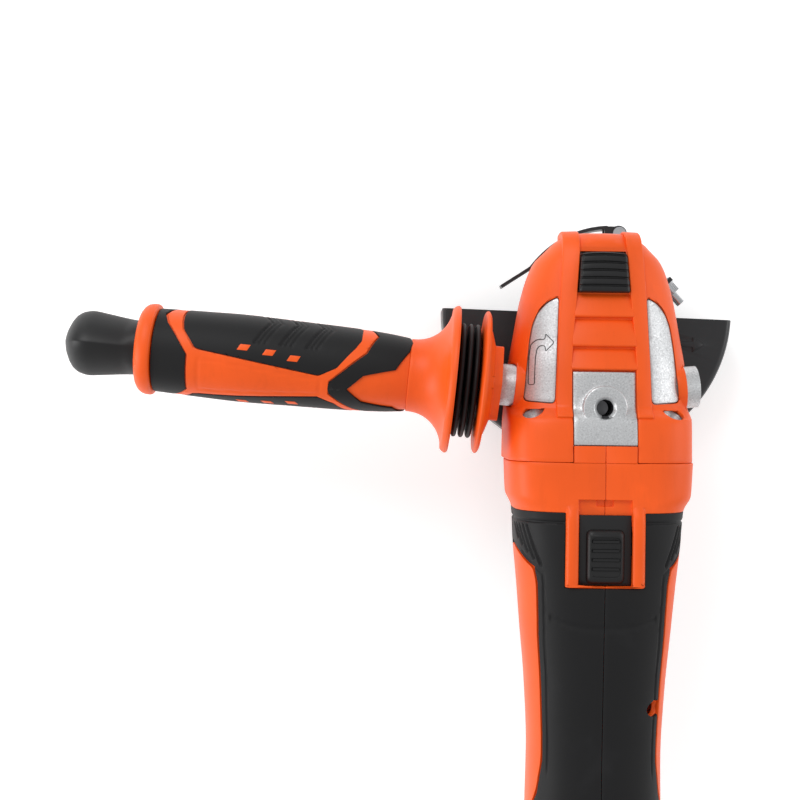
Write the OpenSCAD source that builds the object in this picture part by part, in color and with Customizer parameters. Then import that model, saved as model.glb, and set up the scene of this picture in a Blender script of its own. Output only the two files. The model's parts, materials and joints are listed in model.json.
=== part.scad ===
// Corded angle grinder for 125 mm discs, with side handle, guard and clamp lever.
// Frame: the spindle is the Z axis with its free end at the origin, +Z goes up
// through the head, +Y points out of the nose and -Y along the motor housing.

/* [Spindle and gears] */
// Radius of the spindle's thread
thread_r = 7; // [5:0.5:8]
// Height of the motor axis over the spindle's end
motor_z = 56; // [54:0.5:58]
// Teeth on the pinion
pinion_teeth = 10; // [10]
// Teeth on the crown gear
crown_teeth = 40; // [40]
// Tooth size, pitch diameter divided by teeth
gear_module = 1.2; // [1.1:0.05:1.25]
// Radius of the circle that the lock pin works on
lock_r = 12.6; // [12.2:0.1:13]
// How far the spindle lock button goes down
lock_travel = 4.5; // [4:0.1:5]

/* [Head] */
// Half the width of the head at its widest
head_half_w = 41; // [38:0.5:43]
// Distance from the spindle to the tip of the nose
nose_y = 32; // [31:0.5:34]
// Distance from the spindle to the joint with the motor housing
joint_y = 69.5; // [69:0.5:72]
// Thickness of the plastic cover
cover_wall = 2.4; // [2:0.1:3]
// Radius of the neck that carries the guard
neck_r = 21; // [20:0.5:22]

/* [Motor housing] */
// Distance from the spindle to the rear end
rear_y = 252; // [245:1:260]
// Wall of the housing shells
shell_wall = 3; // [2.5:0.1:3.5]
// Thickness of the soft overmould
grip_skin = 1.2; // [0.8:0.1:1.5]
// Radius of the stator
stator_r = 26; // [25:0.5:26]
// Radius of the rotor stack
rotor_r = 16; // [15:0.5:17]
// Travel of the power switch slider
switch_travel = 6; // [4:0.5:7]

/* [Side handle] */
// Height of the side handle's axis
handle_z = 59; // [58:0.5:61]
// Distance from the spindle back to the side handle holes
handle_back = 36; // [34:0.5:38]
// Forward lean of the side handle
handle_lean = 5; // [0:0.5:6]
// Distance from the middle plane to the handle boss face
boss_x = 44; // [43:0.5:46]
// Radius of the larger handle flange
flange_r = 33; // [30:0.5:33.5]
// Radius of the grip at its fullest
grip_r = 19.6; // [18:0.2:21]
// Length from the boss face to the open end
handle_len = 164; // [150:1:180]
// Radius of the handle thread
m8_r = 4; // [4]

/* [Guard] */
// Outer radius of the guard
guard_r = 69; // [66:0.5:72]
// Sheet thickness of the guard
guard_sheet = 1.8; // [1.5:0.1:2]
// Height of the guard's top face
guard_top = 23.5; // [23:0.1:24]
// Height of the guard's lower rim
guard_low = -4; // [-6:0.5:-3]
// Turn of the guard about the spindle as fitted
guard_turned = 1.7; // [-10:0.1:10]

/* [Hidden] */
$fn = 48;
eps = 0.01;

// Plastics and metals
orange = "#f2622a";
black = "#26272a";
cast_grey = "#c9cbce";
steel = "#a9adb3";
copper = "#b5652d";

// Levels along the spindle, from its free end upwards
seat_z = 11.4;
flange_top = 17.4;
collar_top = 20.4;
neck_low = 21.5;
bearing_low = 31;
bearing_high = 41;
case_low = 42;
web_low = 44;
web_high = 47.5;
spindle_top = 63.6;
bush_z = [56, 63.4];
shaft_r = 6;
top_pin_r = 4.5;

// Bevel gear set: both pitch cones meet at the crossing of the two axes
cone_angle = atan(pinion_teeth / crown_teeth);
cone_len = gear_module * crown_teeth / 2 / cos(cone_angle);
face_w = 6;
small_end = (cone_len - face_w) / cone_len;

// Stations of the head from nose to joint:
// y, half width, lower edge, shoulder height, top height, squareness
head_rings = [
    [nose_y, 12, 47, 52, 60, 2.6],
    [nose_y - 1.2, 15.5, 46, 52, 63.5, 2.5],
    [nose_y - 4, 20, 45, 52, 67, 2.4],
    [24.5, 23.6, 44.5, 51, 69.5, 2.4],
    [19.6, 28.3, 44, 50, 71, 2.4],
    [12, 31.6, 44, 50, 72, 2.4],
    [1, 34.6, 44, 50, 73.2, 2.4],
    [-15, 37.4, 44, 51, 75, 2.4],
    [-28, 39.5, 44, 52, 76.5, 2.5],
    [-46, head_half_w, 42, 52, 78.5, 2.5],
    [-51.5, head_half_w, 36, 52, 82, 4.2],
    [-joint_y, head_half_w, 34, 52, 84.5, 4.2]
];

// Stations of the motor housing from joint to rear end:
// y, half width, height over the axis, depth under the axis, squareness
body_rings = [
    [-joint_y, head_half_w, 28.5, 28.5, 4.2],
    [-84, 40.3, 29, 28.5, 4],
    [-91, 37.6, 30, 28.8, 3.2],
    [-106, 36.8, 30.8, 29.4, 2.8],
    [-125, 35, 30.8, 29.6, 2.6],
    [-144, 33.4, 30, 29.6, 2.5],
    [-170, 31, 29, 29.2, 2.5],
    [-200, 29.6, 28, 28.6, 2.5],
    [-230, 30, 28.4, 29, 2.5],
    [-rear_y + 6, 29.2, 27.6, 28.2, 2.5],
    [-rear_y + 1.5, 27, 25.4, 26, 2.6],
    [-rear_y, 25, 23.4, 24, 2.6]
];

// Room for the gears, spring and lock button inside the head
chamber_top = 54.5;
spring_z = [59.5, 68.5];
button_half = 10.2;
button_y = [5.2, 22.6];
button_z = [68.6, 75.8];
pin_tip = web_low + lock_travel + 0.1;
bell_r = 23.6;
fan_r = 22.8;

// Side window of the head as half-plan points from the rail outwards
window_plan = [[19, 3.4], [26.4, -0.5], [30.3, -7.5], [31.4, -17], [34.4, -43.5], [21, -44.5]];

// Motor layout along the shaft
pinion_bearing_y = [-37, -28];
fan_y = [-67, -55];
stator_y = [-126, -84];
rotor_y = [-127, -83];
commutator_y = [-155, -141];
rear_bearing_y = [-169, -162];
brush_y = -148;
brush_gap = 0.15;
motor_shaft_r = 4;

// Guard clamp: the eye bolt runs from the lever's pivot to its nut
pivot = [13, 35.6];
bolt_end = [42, 4.6];
bolt_angle = atan2(bolt_end[1] - pivot[1], bolt_end[0] - pivot[0]);
bolt_len = norm(bolt_end - pivot);
lever_centre = [9.3, -7.2];
lever_r = 45;
clamp_z = [25.2, 33.2];

// Side handle: stations measured outwards from the boss face
hub_s = [0.3, 10];
disc_s = 11.2;
disc_pitch = 3.2;
disc_t = 2;
core_s = 20.4;
ring_s = [154, handle_len];

function power(v, e) = sign(v) * pow(abs(v), e);

// Arch-shaped head section: straight sides and a rounded top
function arch(a, low, shoulder, top, n, steps = 12) = concat(
    [[a, low]],
    [for (i = [0:steps]) let (t = 180 * i / steps)
        [a * power(cos(t), 2 / n), shoulder + (top - shoulder) * power(sin(t), 2 / n)]],
    [[-a, low]]);

// Closed oval section around the motor axis
function oval(a, up, down, n, steps = 24) =
    [for (i = [0:steps - 1]) let (t = 360 * i / steps)
        [a * power(cos(t), 2 / n), motor_z + (sin(t) > 0 ? up : down) * power(sin(t), 2 / n)]];

function head_ring(r, inset, low, steps = 12) = let (y = r[0] > 20 ? r[0] - inset : r[0])
    [for (p = arch(r[1] - inset, low == undef ? r[2] : low, r[3], r[4] - inset, r[5], steps))
        [p[0], y, p[1]]];

function body_ring(r, inset) =
    [for (p = oval(r[1] - inset, r[2] - inset, r[3] - inset, r[4])) [p[0], r[0], p[1]]];

// Solid through rings of equally many points, given from +Y to -Y
module loft(rings) {
    n = len(rings[0]);
    last = len(rings) - 1;
    sides = [for (k = [0:last - 1], i = [0:n - 1]) let (a = k * n + i, b = k * n + (i + 1) % n)
        each [[a, a + n, b], [b, a + n, b + n]]];
    polyhedron(
        points = [for (r = rings) each r],
        faces = concat(sides, [[for (i = [0:n - 1]) i]], [[for (i = [n - 1:-1:0]) last * n + i]]));
}

// Cylinder along Y from y0 to y1
module y_rod(y0, y1, r, x = 0, z = motor_z) {
    translate([x, max(y0, y1), z])
        rotate([90, 0, 0])
            cylinder(h = abs(y1 - y0), r = r);
}

module y_tube(y0, y1, r_in, r_out, x = 0, z = motor_z) {
    difference() {
        y_rod(y0, y1, r_out, x, z);
        y_rod(min(y0, y1) - 1, max(y0, y1) + 1, r_in, x, z);
    }
}

// Box between two opposite corners
module block(a, b) {
    translate([min(a[0], b[0]), min(a[1], b[1]), min(a[2], b[2])])
        cube([abs(b[0] - a[0]), abs(b[1] - a[1]), abs(b[2] - a[2])]);
}

// Puts a piece drawn along +Z onto the side handle's axis, z being the distance out
module on_handle(side = -1) {
    translate([side * boss_x, -handle_back, handle_z])
        rotate([0, 0, side * handle_lean])
            rotate([0, side * 90, 0])
                children();
}

module ring(r_in, r_out, z0, z1) {
    translate([0, 0, z0])
        difference() {
            cylinder(h = z1 - z0, r = r_out);
            translate([0, 0, -1]) cylinder(h = z1 - z0 + 2, r = r_in);
        }
}

// Both mirror images about the middle plane
module both() {
    children();
    mirror([1, 0, 0]) children();
}

// Ball bearing along +Z from 0 to w, with a groove and balls
module ball_bearing(r_in, r_out, w, balls) {
    pitch = (r_in + r_out) / 2;
    ball = (r_out - r_in) * 0.29;
    difference() {
        union() {
            ring(r_in, r_in + (r_out - r_in) * 0.34, 0, w);
            ring(r_out - (r_out - r_in) * 0.3, r_out, 0, w);
        }
        translate([0, 0, w / 2])
            rotate_extrude()
                translate([pitch, 0])
                    circle(r = ball + 0.04);
    }
    for (i = [0:balls - 1])
        rotate([0, 0, 360 * i / balls])
            translate([pitch, 0, w / 2])
                sphere(r = ball);
}

// ---------- head ----------

panel_y = [4.4, -6.8, -19.7, -29.9];
step_drop = 1.6;
step_rise = 1.3;
// Height of the head's top line at a station between nose and joint
function panel_z(y) =
    lookup(y, [for (i = [len(head_rings) - 1:-1:0]) [head_rings[i][0], head_rings[i][4]]]) + step_drop;
rail_front = [9.7, 17.6];
rail_rear = [13.4, 20.8];
channel_drop = 1.6;

// Front (end 0) or rear (end 1) edge of one wedge of the stepped panel
module step_edge(i, end) {
    y = panel_y[i + end];
    gap = end == 0 ? -0.3 : 0.3;
    translate([0, y + gap, panel_z(y) - 3 + end * step_rise])
        cube([2 * (10.9 + i), 0.2, 3], center = true);
}

// Band of the head between two half-plan lines that follow the rails
module rail_band(inner_front, inner_rear, outer_front, outer_rear, y_front, y_rear) {
    translate([0, 0, 40])
        linear_extrude(height = 60)
            polygon([[inner_front, y_front], [outer_front, y_front],
                [outer_rear, y_rear], [inner_rear, y_rear]]);
}

// Slab that follows the head's top line, drawn from the side
module top_slab(up, thick, y_front, y_rear) {
    tops = [for (r = head_rings) if (r[0] <= y_front && r[0] >= y_rear) [r[0], r[4] + up]];
    translate([-head_half_w, 0, 0])
        rotate([90, 0, 90])
            linear_extrude(height = 2 * head_half_w)
                polygon(concat(tops, [for (i = [len(tops) - 1:-1:0]) tops[i] - [0, thick]]));
}

module head_solid(inset, low = undef) {
    loft([for (r = head_rings) head_ring(r, inset, low)]);
}

// The same shape on fewer stations, for the casting and the room inside the cover
module core_solid(inset, low = undef) {
    loft([for (i = [0, 2, 4, 6, 8, 9, 10, 11]) head_ring(head_rings[i], inset, low, 8)]);
}

module windows(grow) {
    both()
        translate([0, 0, 52])
            linear_extrude(height = 40)
                polygon([
                    window_plan[0] + [-grow, grow],
                    window_plan[1] + [grow, grow],
                    window_plan[2] + [grow, grow],
                    window_plan[3] + [grow, 0],
                    window_plan[4] + [grow, -grow],
                    window_plan[5] + [-grow, -grow]]);
}

block_plan = [[-13.6, -30.4], [13.6, -30.4], [13.6, -62], [-13.6, -62]];
// Tongue of the motor housing that reaches over the joint
tongue_y = -62.4;
tongue_z = [80.8, 84.2];
case_screw_x = 30.4;
case_screw_z = [motor_z - 19.5, motor_z + 18];

module case_screw_places() {
    for (z = case_screw_z, x = [-1, 1])
        translate([x * case_screw_x, 0, z])
            children();
}

bell_rings = [[-47, 31, 20, 22, 2.6], [-54, 38, 24, 27.4, 3.6], [-joint_y + eps, 38, 25.4, 28, 3.8]];

module gear_case() {
    color(cast_grey)
        difference() {
            union() {
                core_solid(cover_wall + 0.4, case_low);
                // Pads that fill the side windows of the cover
                intersection() {
                    core_solid(0.7, case_low);
                    windows(-0.5);
                }
                // Top block with the upper handle hole
                intersection() {
                    core_solid(0.2, case_low);
                    translate([0, 0, 60]) linear_extrude(height = 40) polygon(block_plan);
                }
                translate([0, -46, 70]) cylinder(h = 11.4, r = 9.6);
                // Rear bell around the fan
                loft([for (r = bell_rings) [for (p = oval(r[1], r[2], r[3], r[4], 16)) [p[0], r[0], p[1]]]]);
                // Side handle bosses
                for (side = [-1, 1])
                    on_handle(side)
                        translate([0, 0, -16])
                            cylinder(h = 16, r = 9.3);
            }
            // Gear chamber
            translate([0, 0, case_low - 1]) cylinder(h = chamber_top - case_low + 1, r = 26.4);
            // Needle bush seat and the clearance of the spindle's top
            translate([0, 0, chamber_top - 1]) cylinder(h = 8, r = 5.6);
            translate([0, 0, bush_z[0]]) cylinder(h = bush_z[1] - bush_z[0], r = 6.5);
            translate([0, 0, bush_z[0]]) cylinder(h = spindle_top + 0.4 - bush_z[0], r = 5.2);
            // Lock pin guide, spring pocket and button recess
            translate([0, lock_r, chamber_top - 1]) cylinder(h = 22, r = 2.68);
            translate([0, lock_r, spring_z[0]]) cylinder(h = 12, r = 5.2);
            block([-button_half - 0.3, button_y[0] - 0.3, 63.8], [button_half + 0.3, button_y[1] + 0.3, 90]);
            // Pinion tunnel, bearing seat, shaft way and fan bell
            y_rod(-30, -8, 9.6);
            y_rod(pinion_bearing_y[0], pinion_bearing_y[1] + eps, 15);
            y_rod(-39, -37 + eps, 16.5);
            y_rod(fan_y[1], -38, 9);
            y_rod(-joint_y - 1, fan_y[1] + 1, bell_r);
            // Exhaust slots of the fan in the lower sides
            for (side = [-1, 1], i = [0:2])
                translate([side * (6 + 6.5 * i), -61, motor_z - 28])
                    cube([3.4, 9, 24], center = true);
            // Handle threads
            translate([0, -46, 67]) cylinder(h = 16, r = m8_r);
            translate([0, -46, 80.6]) cylinder(h = 1, r1 = m8_r, r2 = m8_r + 1);
            for (side = [-1, 1])
                on_handle(side)
                    translate([0, 0, -17.5])
                        cylinder(h = 20, r = m8_r);
            // Seat of the housing's tongue
            block([-13.9, -joint_y - 1, tongue_z[0] - 0.1], [13.9, tongue_y + 0.3, 90]);
            // Housing screws from the front
            case_screw_places()
                y_rod(-joint_y - 1, -45, 2.1, 0, 0);
            case_screw_places()
                y_rod(-55.2, -40, 4.4, 0, 0);
            // Screws of the bearing flange
            flange_screw_places()
                translate([0, 0, case_low - 1]) cylinder(h = 11, r = 1.9);
        }
}

module head_cover() {
    color(orange)
        difference() {
            union() {
                difference() {
                    head_solid(0);
                    // Recess for the lock button and the stepped panel behind it
                    intersection() {
                        rail_band(-9.7, -13.4, 9.7, 13.4, 24.5, -30);
                        top_slab(2, 2 + channel_drop, 24.5, -46);
                    }
                }
                // Rails on both sides of the button
                both()
                    intersection() {
                        rail_band(rail_front[0], rail_rear[0], rail_front[1], rail_rear[1], 26.8, -46);
                        top_slab(1.2, 3.4, 28, -46);
                    }
                // Stepped panel behind the button: three wedges, each higher at its rear
                for (i = [0:2])
                    hull()
                        for (end = [0, 1])
                            step_edge(i, end);
                // Collars around the side handle bosses
                for (side = [-1, 1])
                    hull()
                        on_handle(side)
                            translate([0, 0, -14])
                                cylinder(h = 10.2, r = 11.4, $fn = 32);
            }
            // Room for the casting, and the side windows that show it
            core_solid(cover_wall, 20);
            windows(0);
            // Way for the lock button
            block([-button_half - 0.3, button_y[0] - 0.3, 60], [button_half + 0.3, button_y[1] + 0.3, 90]);
            // Way for the top block and the housing's tongue
            block([-14, -30, 60], [14, -joint_y - 1, 90]);
            // Screw recesses
            case_screw_places()
                y_rod(-57, -30, 4.6, 0, 0);
            // Side handle bosses
            for (side = [-1, 1])
                on_handle(side)
                    translate([0, 0, -14])
                        cylinder(h = 20, r = 9.7);
        }
}

flange_screw_r = 27.2;
module flange_screw_places() {
    for (a = [45, 135, 225, 315])
        rotate([0, 0, a])
            translate([flange_screw_r, 0, 0])
                children();
}

module bearing_flange() {
    color(cast_grey)
        difference() {
            union() {
                translate([0, 0, 37]) cylinder(h = case_low - 37, r = 30.4);
                flange_screw_places()
                    translate([0, 0, 37]) cylinder(h = case_low - 37, r = 5);
                translate([0, 0, neck_low]) cylinder(h = 16, r = neck_r);
                // Stops that the guard's collar can't pass
                translate([0, 0, 34.6]) cylinder(h = 2.6, r = neck_r + 2.6);
            }
            translate([0, 0, bearing_low]) cylinder(h = 20, r = 16);
            translate([0, 0, neck_low + 2]) cylinder(h = 20, r = 13);
            translate([0, 0, neck_low - 1]) cylinder(h = 4, r = 12);
            flange_screw_places()
                translate([0, 0, 30]) cylinder(h = 20, r = 2.15);
            // Clearance under the pinion bearing
            y_rod(-40, pinion_bearing_y[1] + 0.3, 15.3);
        }
}

module flange_screws() {
    color(steel)
        flange_screw_places()
            difference() {
                union() {
                    translate([0, 0, 37.2]) cylinder(h = 14, r = 1.9);
                    translate([0, 0, 33.8]) cylinder(h = 3.2, r = 3.6);
                    translate([0, 0, 36.9]) cylinder(h = 0.4, r = 1.9);
                }
                translate([0, 0, 33]) cylinder(h = 2.6, r = 1.7, $fn = 6);
            }
}

module case_screws() {
    color(steel)
        case_screw_places()
            difference() {
                union() {
                    y_rod(-88, -55.2, 2.1, 0, 0);
                    y_rod(-55.2, -52, 4.1, 0, 0);
                }
                // Cross recess in the head
                for (a = [0, 90])
                    rotate([0, a, 0])
                        block([-2.2, -53.6, -0.5], [2.2, -51, 0.5]);
            }
}

module spindle_bearing() {
    color(steel)
        translate([0, 0, bearing_low])
            ball_bearing(shaft_r + 0.03, 16, bearing_high - bearing_low, 8);
}

module needle_bush() {
    color(steel) {
        ring(5.9, 6.5, bush_z[0], bush_z[1]);
        for (i = [0:13])
            rotate([0, 0, 360 * i / 14])
                translate([5.21, 0, bush_z[0] + 0.6])
                    cylinder(h = bush_z[1] - bush_z[0] - 1.2, r = 0.64);
    }
}

module pinion_bearing() {
    color(steel)
        translate([0, pinion_bearing_y[1], motor_z])
            rotate([90, 0, 0])
                ball_bearing(5.03, 15, 9, 7);
}

module rear_bearing() {
    color(steel)
        translate([0, rear_bearing_y[1], motor_z])
            rotate([90, 0, 0])
                ball_bearing(motor_shaft_r + 0.03, 11, 7, 7);
}

module bearing_sleeve() {
    color(black)
        difference() {
            y_rod(rear_bearing_y[0] - 1.2, rear_bearing_y[1], 12.6);
            y_rod(rear_bearing_y[0], rear_bearing_y[1] + 1, 11);
            y_rod(rear_bearing_y[0] - 2, rear_bearing_y[1], 8);
        }
}

module bearing_plate() {
    color(steel)
        y_tube(-38.6, -37, 7.5, 16.5);
}

module dust_seal() {
    color("#3a3b3d")
        ring(shaft_r + 0.05, 12.8, neck_low + 2, neck_low + 6);
}

// ---------- motor housing ----------

slider_half = 11.2;
frame_half = 17;
frame_y = [-122.8, -85.5];
slot_y = [-122, -91.6];
slider_z = [83.4, 85];
pad_front = slot_y[1] - switch_travel - 0.3;
// Rod from the slider back to the switch, and the finger that works the switch
rod_x = 18.5;
rod_z = 77.9;
finger_y = [-147.2, -145.6];
// Room that the shells leave around the round parts they hold
seat_gap = 0.05;
shell_screws = [[-134, 23.4], [-134, -23.4], [-176, 21], [-176, -22], [-226, 20.5], [-226, -21]];

// Side stripe that the overmould leaves open, seen from the side
stripe_plan = [[-104.5, 55], [-108, 63.5], [-115.8, 75.4], [-122, 77], [-145, 76], [-200, 74.4], [-214, 70.5],
    [-225, 62], [-226, 53], [-214, 49.4], [-140, 49], [-112, 51]];

module body_solid(inset) {
    loft([for (r = body_rings) body_ring(r, inset)]);
}

// Inside of the shells, open towards the head and closed at the rear
module body_hollow() {
    last = len(body_rings) - 1;
    function shifted(i) = i == 0 ? 1 : i == last ? shell_wall : 0;
    loft([for (i = [0:last]) [for (p = body_ring(body_rings[i], shell_wall)) p + [0, shifted(i), 0]]]);
}

module shell_screw_places(places = shell_screws) {
    for (p = places)
        translate([0, p[0], motor_z + p[1]])
            rotate([0, 90, 0])
                children();
}

// Part of the skin that the overmould covers
module grip_region() {
    difference() {
        block([-60, -238, 10], [60, -91, 100]);
        block([-frame_half - 0.2, frame_y[0] - 0.2, motor_z], [frame_half + 0.2, -80, 100]);
        translate([-60, 0, 0])
            rotate([90, 0, 90])
                linear_extrude(height = 120)
                    polygon(stripe_plan);
    }
}

module half(side) {
    intersection() {
        children();
        block([0, 10, -20], [side * 90, -300, 140]);
    }
}

// Outside of the shells, sunk where the overmould lies on them
module shell_solid() {
    difference() {
        body_solid(0);
        difference() {
            grip_region();
            body_solid(grip_skin);
        }
    }
    // Raised frame around the slider
    translate([-frame_half, 0, 0])
        rotate([90, 0, 90])
            linear_extrude(height = 2 * frame_half)
                polygon([[frame_y[0], 83], [frame_y[1], 83], [frame_y[1], 85.4], [frame_y[1] - 5, 87],
                    [-106, 87.9], [frame_y[0], 87.6]]);
}

module shell_insides() {
    // Floor under the slider
    block([-19, -126, 81.4], [19, -82, 84.4]);
    // Motor mounts on four ribs each
    for (y = [stator_y[0] + 2, stator_y[1] - 6]) {
        for (x = [-1, 1])
            block([x * stator_r, y, motor_z - 5], [x * 40, y + 4, motor_z + 5]);
    }
    // Rear bearing seat on a cross wall
    difference() {
        block([-27, rear_bearing_y[0] - 1.2, motor_z - 27], [27, rear_bearing_y[1] + 1, motor_z + 27]);
        y_rod(rear_bearing_y[0] - 3, rear_bearing_y[1] + 3, 12.6 + seat_gap);
    }
    // Screw bosses
    shell_screw_places()
        hull()
            translate([0, 0, -17])
                cylinder(h = 34, r = 4.8, $fn = 24);
    case_screw_places()
        hull()
            y_rod(-90, -joint_y - eps, 4.4, 0, 0);
    both()
        for (z = case_screw_z)
            block([case_screw_x, -90, z - 1.2], [38.6, -joint_y - eps, z + 1.2]);
    // Seat of the cord inlet
    y_tube(-rear_y + 2, -rear_y + 12, 8, 12.6);
}

// The cuts through a shell, which are also those through its overmould except at the covered screw
module shell_cuts(side, open_screws = shell_screws) {
    // Slider slot with the pocket that it moves into
    block([-slider_half - 0.3, slot_y[0] - 0.2, slider_z[0] - 0.2], [slider_half + 0.3, slot_y[1], 120]);
    block([-slider_half - 0.3, slot_y[1] - 1, slider_z[0] - 0.2],
        [slider_half + 0.3, slot_y[1] + switch_travel + 0.3, slider_z[1] + 0.2]);
    // Way for the slider's side leg and its rod
    block([slider_half, -109, 70], [17, -97, slider_z[1] + 0.2]);
    block([11, -109, 70], [21.5, -97, 80.8]);
    y_rod(finger_y[0] - 2, -98, 1.6, rod_x, rod_z);
    // Seat of the stator
    y_rod(stator_y[0], stator_y[1], stator_r + seat_gap);
    // Cord inlet with the groove for its flange
    y_rod(-rear_y - 1, -rear_y + 13, 8 + seat_gap);
    y_rod(-rear_y + 5, -rear_y + 8.1, 10.1 + seat_gap);
    // Screw holes, with sunk heads on the right
    case_screw_places()
        y_rod(-91, -joint_y + 1, 2.1, 0, 0);
    shell_screw_places(open_screws) {
        translate([0, 0, -11.5]) cylinder(h = 60, r = 1.7);
        if (side > 0)
            translate([0, 0, 11]) cylinder(h = 60, r = 3.5);
    }
    // Cooling air goes in near the rear end
    for (i = [0:4])
        block([side * 20, -186 - 6 * i, motor_z - 16], [side * 50, -189 - 6 * i, motor_z - 10]);
}

module half_housing(side) {
    color(orange)
        half(side)
            difference() {
                union() {
                    difference() {
                        shell_solid();
                        body_hollow();
                    }
                    intersection() {
                        shell_insides();
                        body_solid(grip_skin + 0.4);
                    }
                    // Tongue over the joint, up to the top block
                    block([-13.6, tongue_y, tongue_z[0]], [13.6, -joint_y - 3, tongue_z[1]]);
                }
                shell_cuts(side);
            }
}

module housing_left() {
    half_housing(-1);
}

module housing_right() {
    half_housing(1);
}

module overmould(side) {
    color(black)
        half(side)
            difference() {
                intersection() {
                    difference() {
                        body_solid(0);
                        body_solid(grip_skin);
                    }
                    grip_region();
                }
                shell_cuts(side, [for (i = [1:len(shell_screws) - 1]) shell_screws[i]]);
            }
}

module grip_left() {
    overmould(-1);
}

module grip_right() {
    overmould(1);
}

module housing_screws() {
    color(steel)
        shell_screw_places() {
            translate([0, 0, -11]) cylinder(h = 22, r = 1.7);
            difference() {
                translate([0, 0, 11]) cylinder(h = 2.6, r = 3.3);
                translate([0, 0, 12.4]) cylinder(h = 2, r = 1.6, $fn = 6);
            }
        }
}

module cord_inlet() {
    color(black)
        difference() {
            union() {
                y_rod(-rear_y, -rear_y + 11.6, 8);
                y_rod(-rear_y + 5, -rear_y + 8.1, 10.1);
                y_rod(-rear_y - 2.4, -rear_y, 9.6);
            }
            y_rod(-rear_y - 3, -rear_y + 13, 3.9);
        }
}

module cord_clamp() {
    color(black)
        difference() {
            union() {
                block([-11, -234, 47.4], [11, -226, 51.2]);
                block([-11, -234, 60.8], [11, -226, 64.6]);
            }
            y_rod(-240, -220, 4.2, 0, 55.2);
            for (x = [-8, 8])
                translate([x, -230, 40]) cylinder(h = 30, r = 1.6);
        }
    color(steel)
        for (x = [-8, 8])
            translate([x, -230, 45]) {
                cylinder(h = 21.8, r = 1.6);
                translate([0, 0, 19.6]) cylinder(h = 2.2, r = 3);
            }
}

// ---------- motor ----------

module stator_core() {
    color(steel)
        difference() {
            y_tube(stator_y[0], stator_y[1], rotor_r + 0.5, stator_r);
            intersection() {
                y_rod(stator_y[0] - 1, stator_y[1] + 1, 22.4);
                block([-13.4, stator_y[0] - 2, 0], [13.4, stator_y[1] + 2, 120]);
            }
        }
}

module field_coils() {
    color(copper)
        intersection() {
            y_tube(stator_y[0] - 3, stator_y[1] + 7, 17.2, 22.2);
            block([-13.2, -150, 0], [13.2, -60, 120]);
        }
}

module fan_baffle() {
    color(black)
        difference() {
            y_rod(-73, -70.2, 24.7);
            y_rod(-75, -69, 17);
        }
}

module armature_shaft() {
    color(steel)
        union() {
            y_rod(-28, -10.5, 3);
            y_rod(-40, -27.9, 5);
            y_rod(-171, -40, motor_shaft_r);
        }
}

module armature_core() {
    color(steel)
        difference() {
            y_rod(rotor_y[0], rotor_y[1], rotor_r);
            y_rod(rotor_y[0] - 1, rotor_y[1] + 1, motor_shaft_r);
            for (i = [0:11])
                translate([0, 0, motor_z])
                    rotate([0, 30 * i, 0])
                        block([-1.1, rotor_y[0] - 1, 13.4], [1.1, rotor_y[1] + 1, 17]);
        }
}

module armature_windings() {
    color(copper) {
        y_tube(rotor_y[1], rotor_y[1] + 8, motor_shaft_r, 13.6);
        y_tube(rotor_y[0] - 10, rotor_y[0], motor_shaft_r, 13.6);
    }
}

module commutator() {
    color(copper)
        difference() {
            union() {
                y_rod(commutator_y[0], commutator_y[1], 11.5);
                y_rod(commutator_y[1] - 2, commutator_y[1], 12.6);
            }
            y_rod(commutator_y[0] - 1, commutator_y[1] + 1, motor_shaft_r);
            for (i = [0:23])
                translate([0, 0, motor_z])
                    rotate([0, 15 * i, 0])
                        block([-0.3, commutator_y[0] - 1, 10.4], [0.3, commutator_y[1] + 1, 14]);
        }
}

module cooling_fan() {
    color(black)
        difference() {
            union() {
                y_rod(fan_y[0], fan_y[1], 7.5);
                y_rod(fan_y[1] - 1.6, fan_y[1], fan_r);
                for (i = [0:10])
                    translate([0, 0, motor_z])
                        rotate([0, 360 / 11 * i, 0])
                            translate([7, 0, 0])
                                rotate([0, 24, 0])
                                    block([0, fan_y[0], -0.7], [15.4, fan_y[1] - 1, 0.7]);
            }
            y_rod(fan_y[0] - 1, fan_y[1] + 1, motor_shaft_r);
        }
}

module brush_holders() {
    color("#b08d3e")
        both()
            difference() {
                block([12.4, brush_y - 4.2, motor_z - 5.8], [29, brush_y + 4.2, motor_z + 5.8]);
                block([11, brush_y - 3.05, motor_z - 4.55], [28, brush_y + 3.05, motor_z + 4.55]);
            }
}

module brush(side) {
    color("#3b3b3d")
        block([side * (11.5 + brush_gap), brush_y - 3, motor_z - 4.5],
            [side * 21, brush_y + 3, motor_z + 4.5]);
}

module brush_left() {
    brush(-1);
}

module brush_right() {
    brush(1);
}

// Spring drawn as a stack of turns along +Z
module turns(r, wire, length, count) {
    for (i = [0:count - 1])
        translate([0, 0, wire + (length - 2 * wire) * i / (count - 1)])
            rotate_extrude()
                translate([r, 0])
                    circle(r = wire, $fn = 16);
}

module brush_spring(side) {
    color(steel)
        translate([side * 21.1, brush_y, motor_z])
            rotate([0, side * 90, 0])
                turns(2, 0.3, 6.8, 6);
}

module brush_spring_left() {
    brush_spring(-1);
}

module brush_spring_right() {
    brush_spring(1);
}

module switch_module() {
    color(black)
        difference() {
            union() {
                block([-12, -158, 69.6], [12, -139, 80]);
                block([12, finger_y[0] - 6, 74.4], [13, finger_y[0], 79.6]);
            }
            shell_screw_places()
                translate([0, 0, -20])
                    cylinder(h = 40, r = 5);
        }
}

module capacitor() {
    color("#d8b23c")
        y_rod(-206, -182, 7, 0, 62);
}

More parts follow.
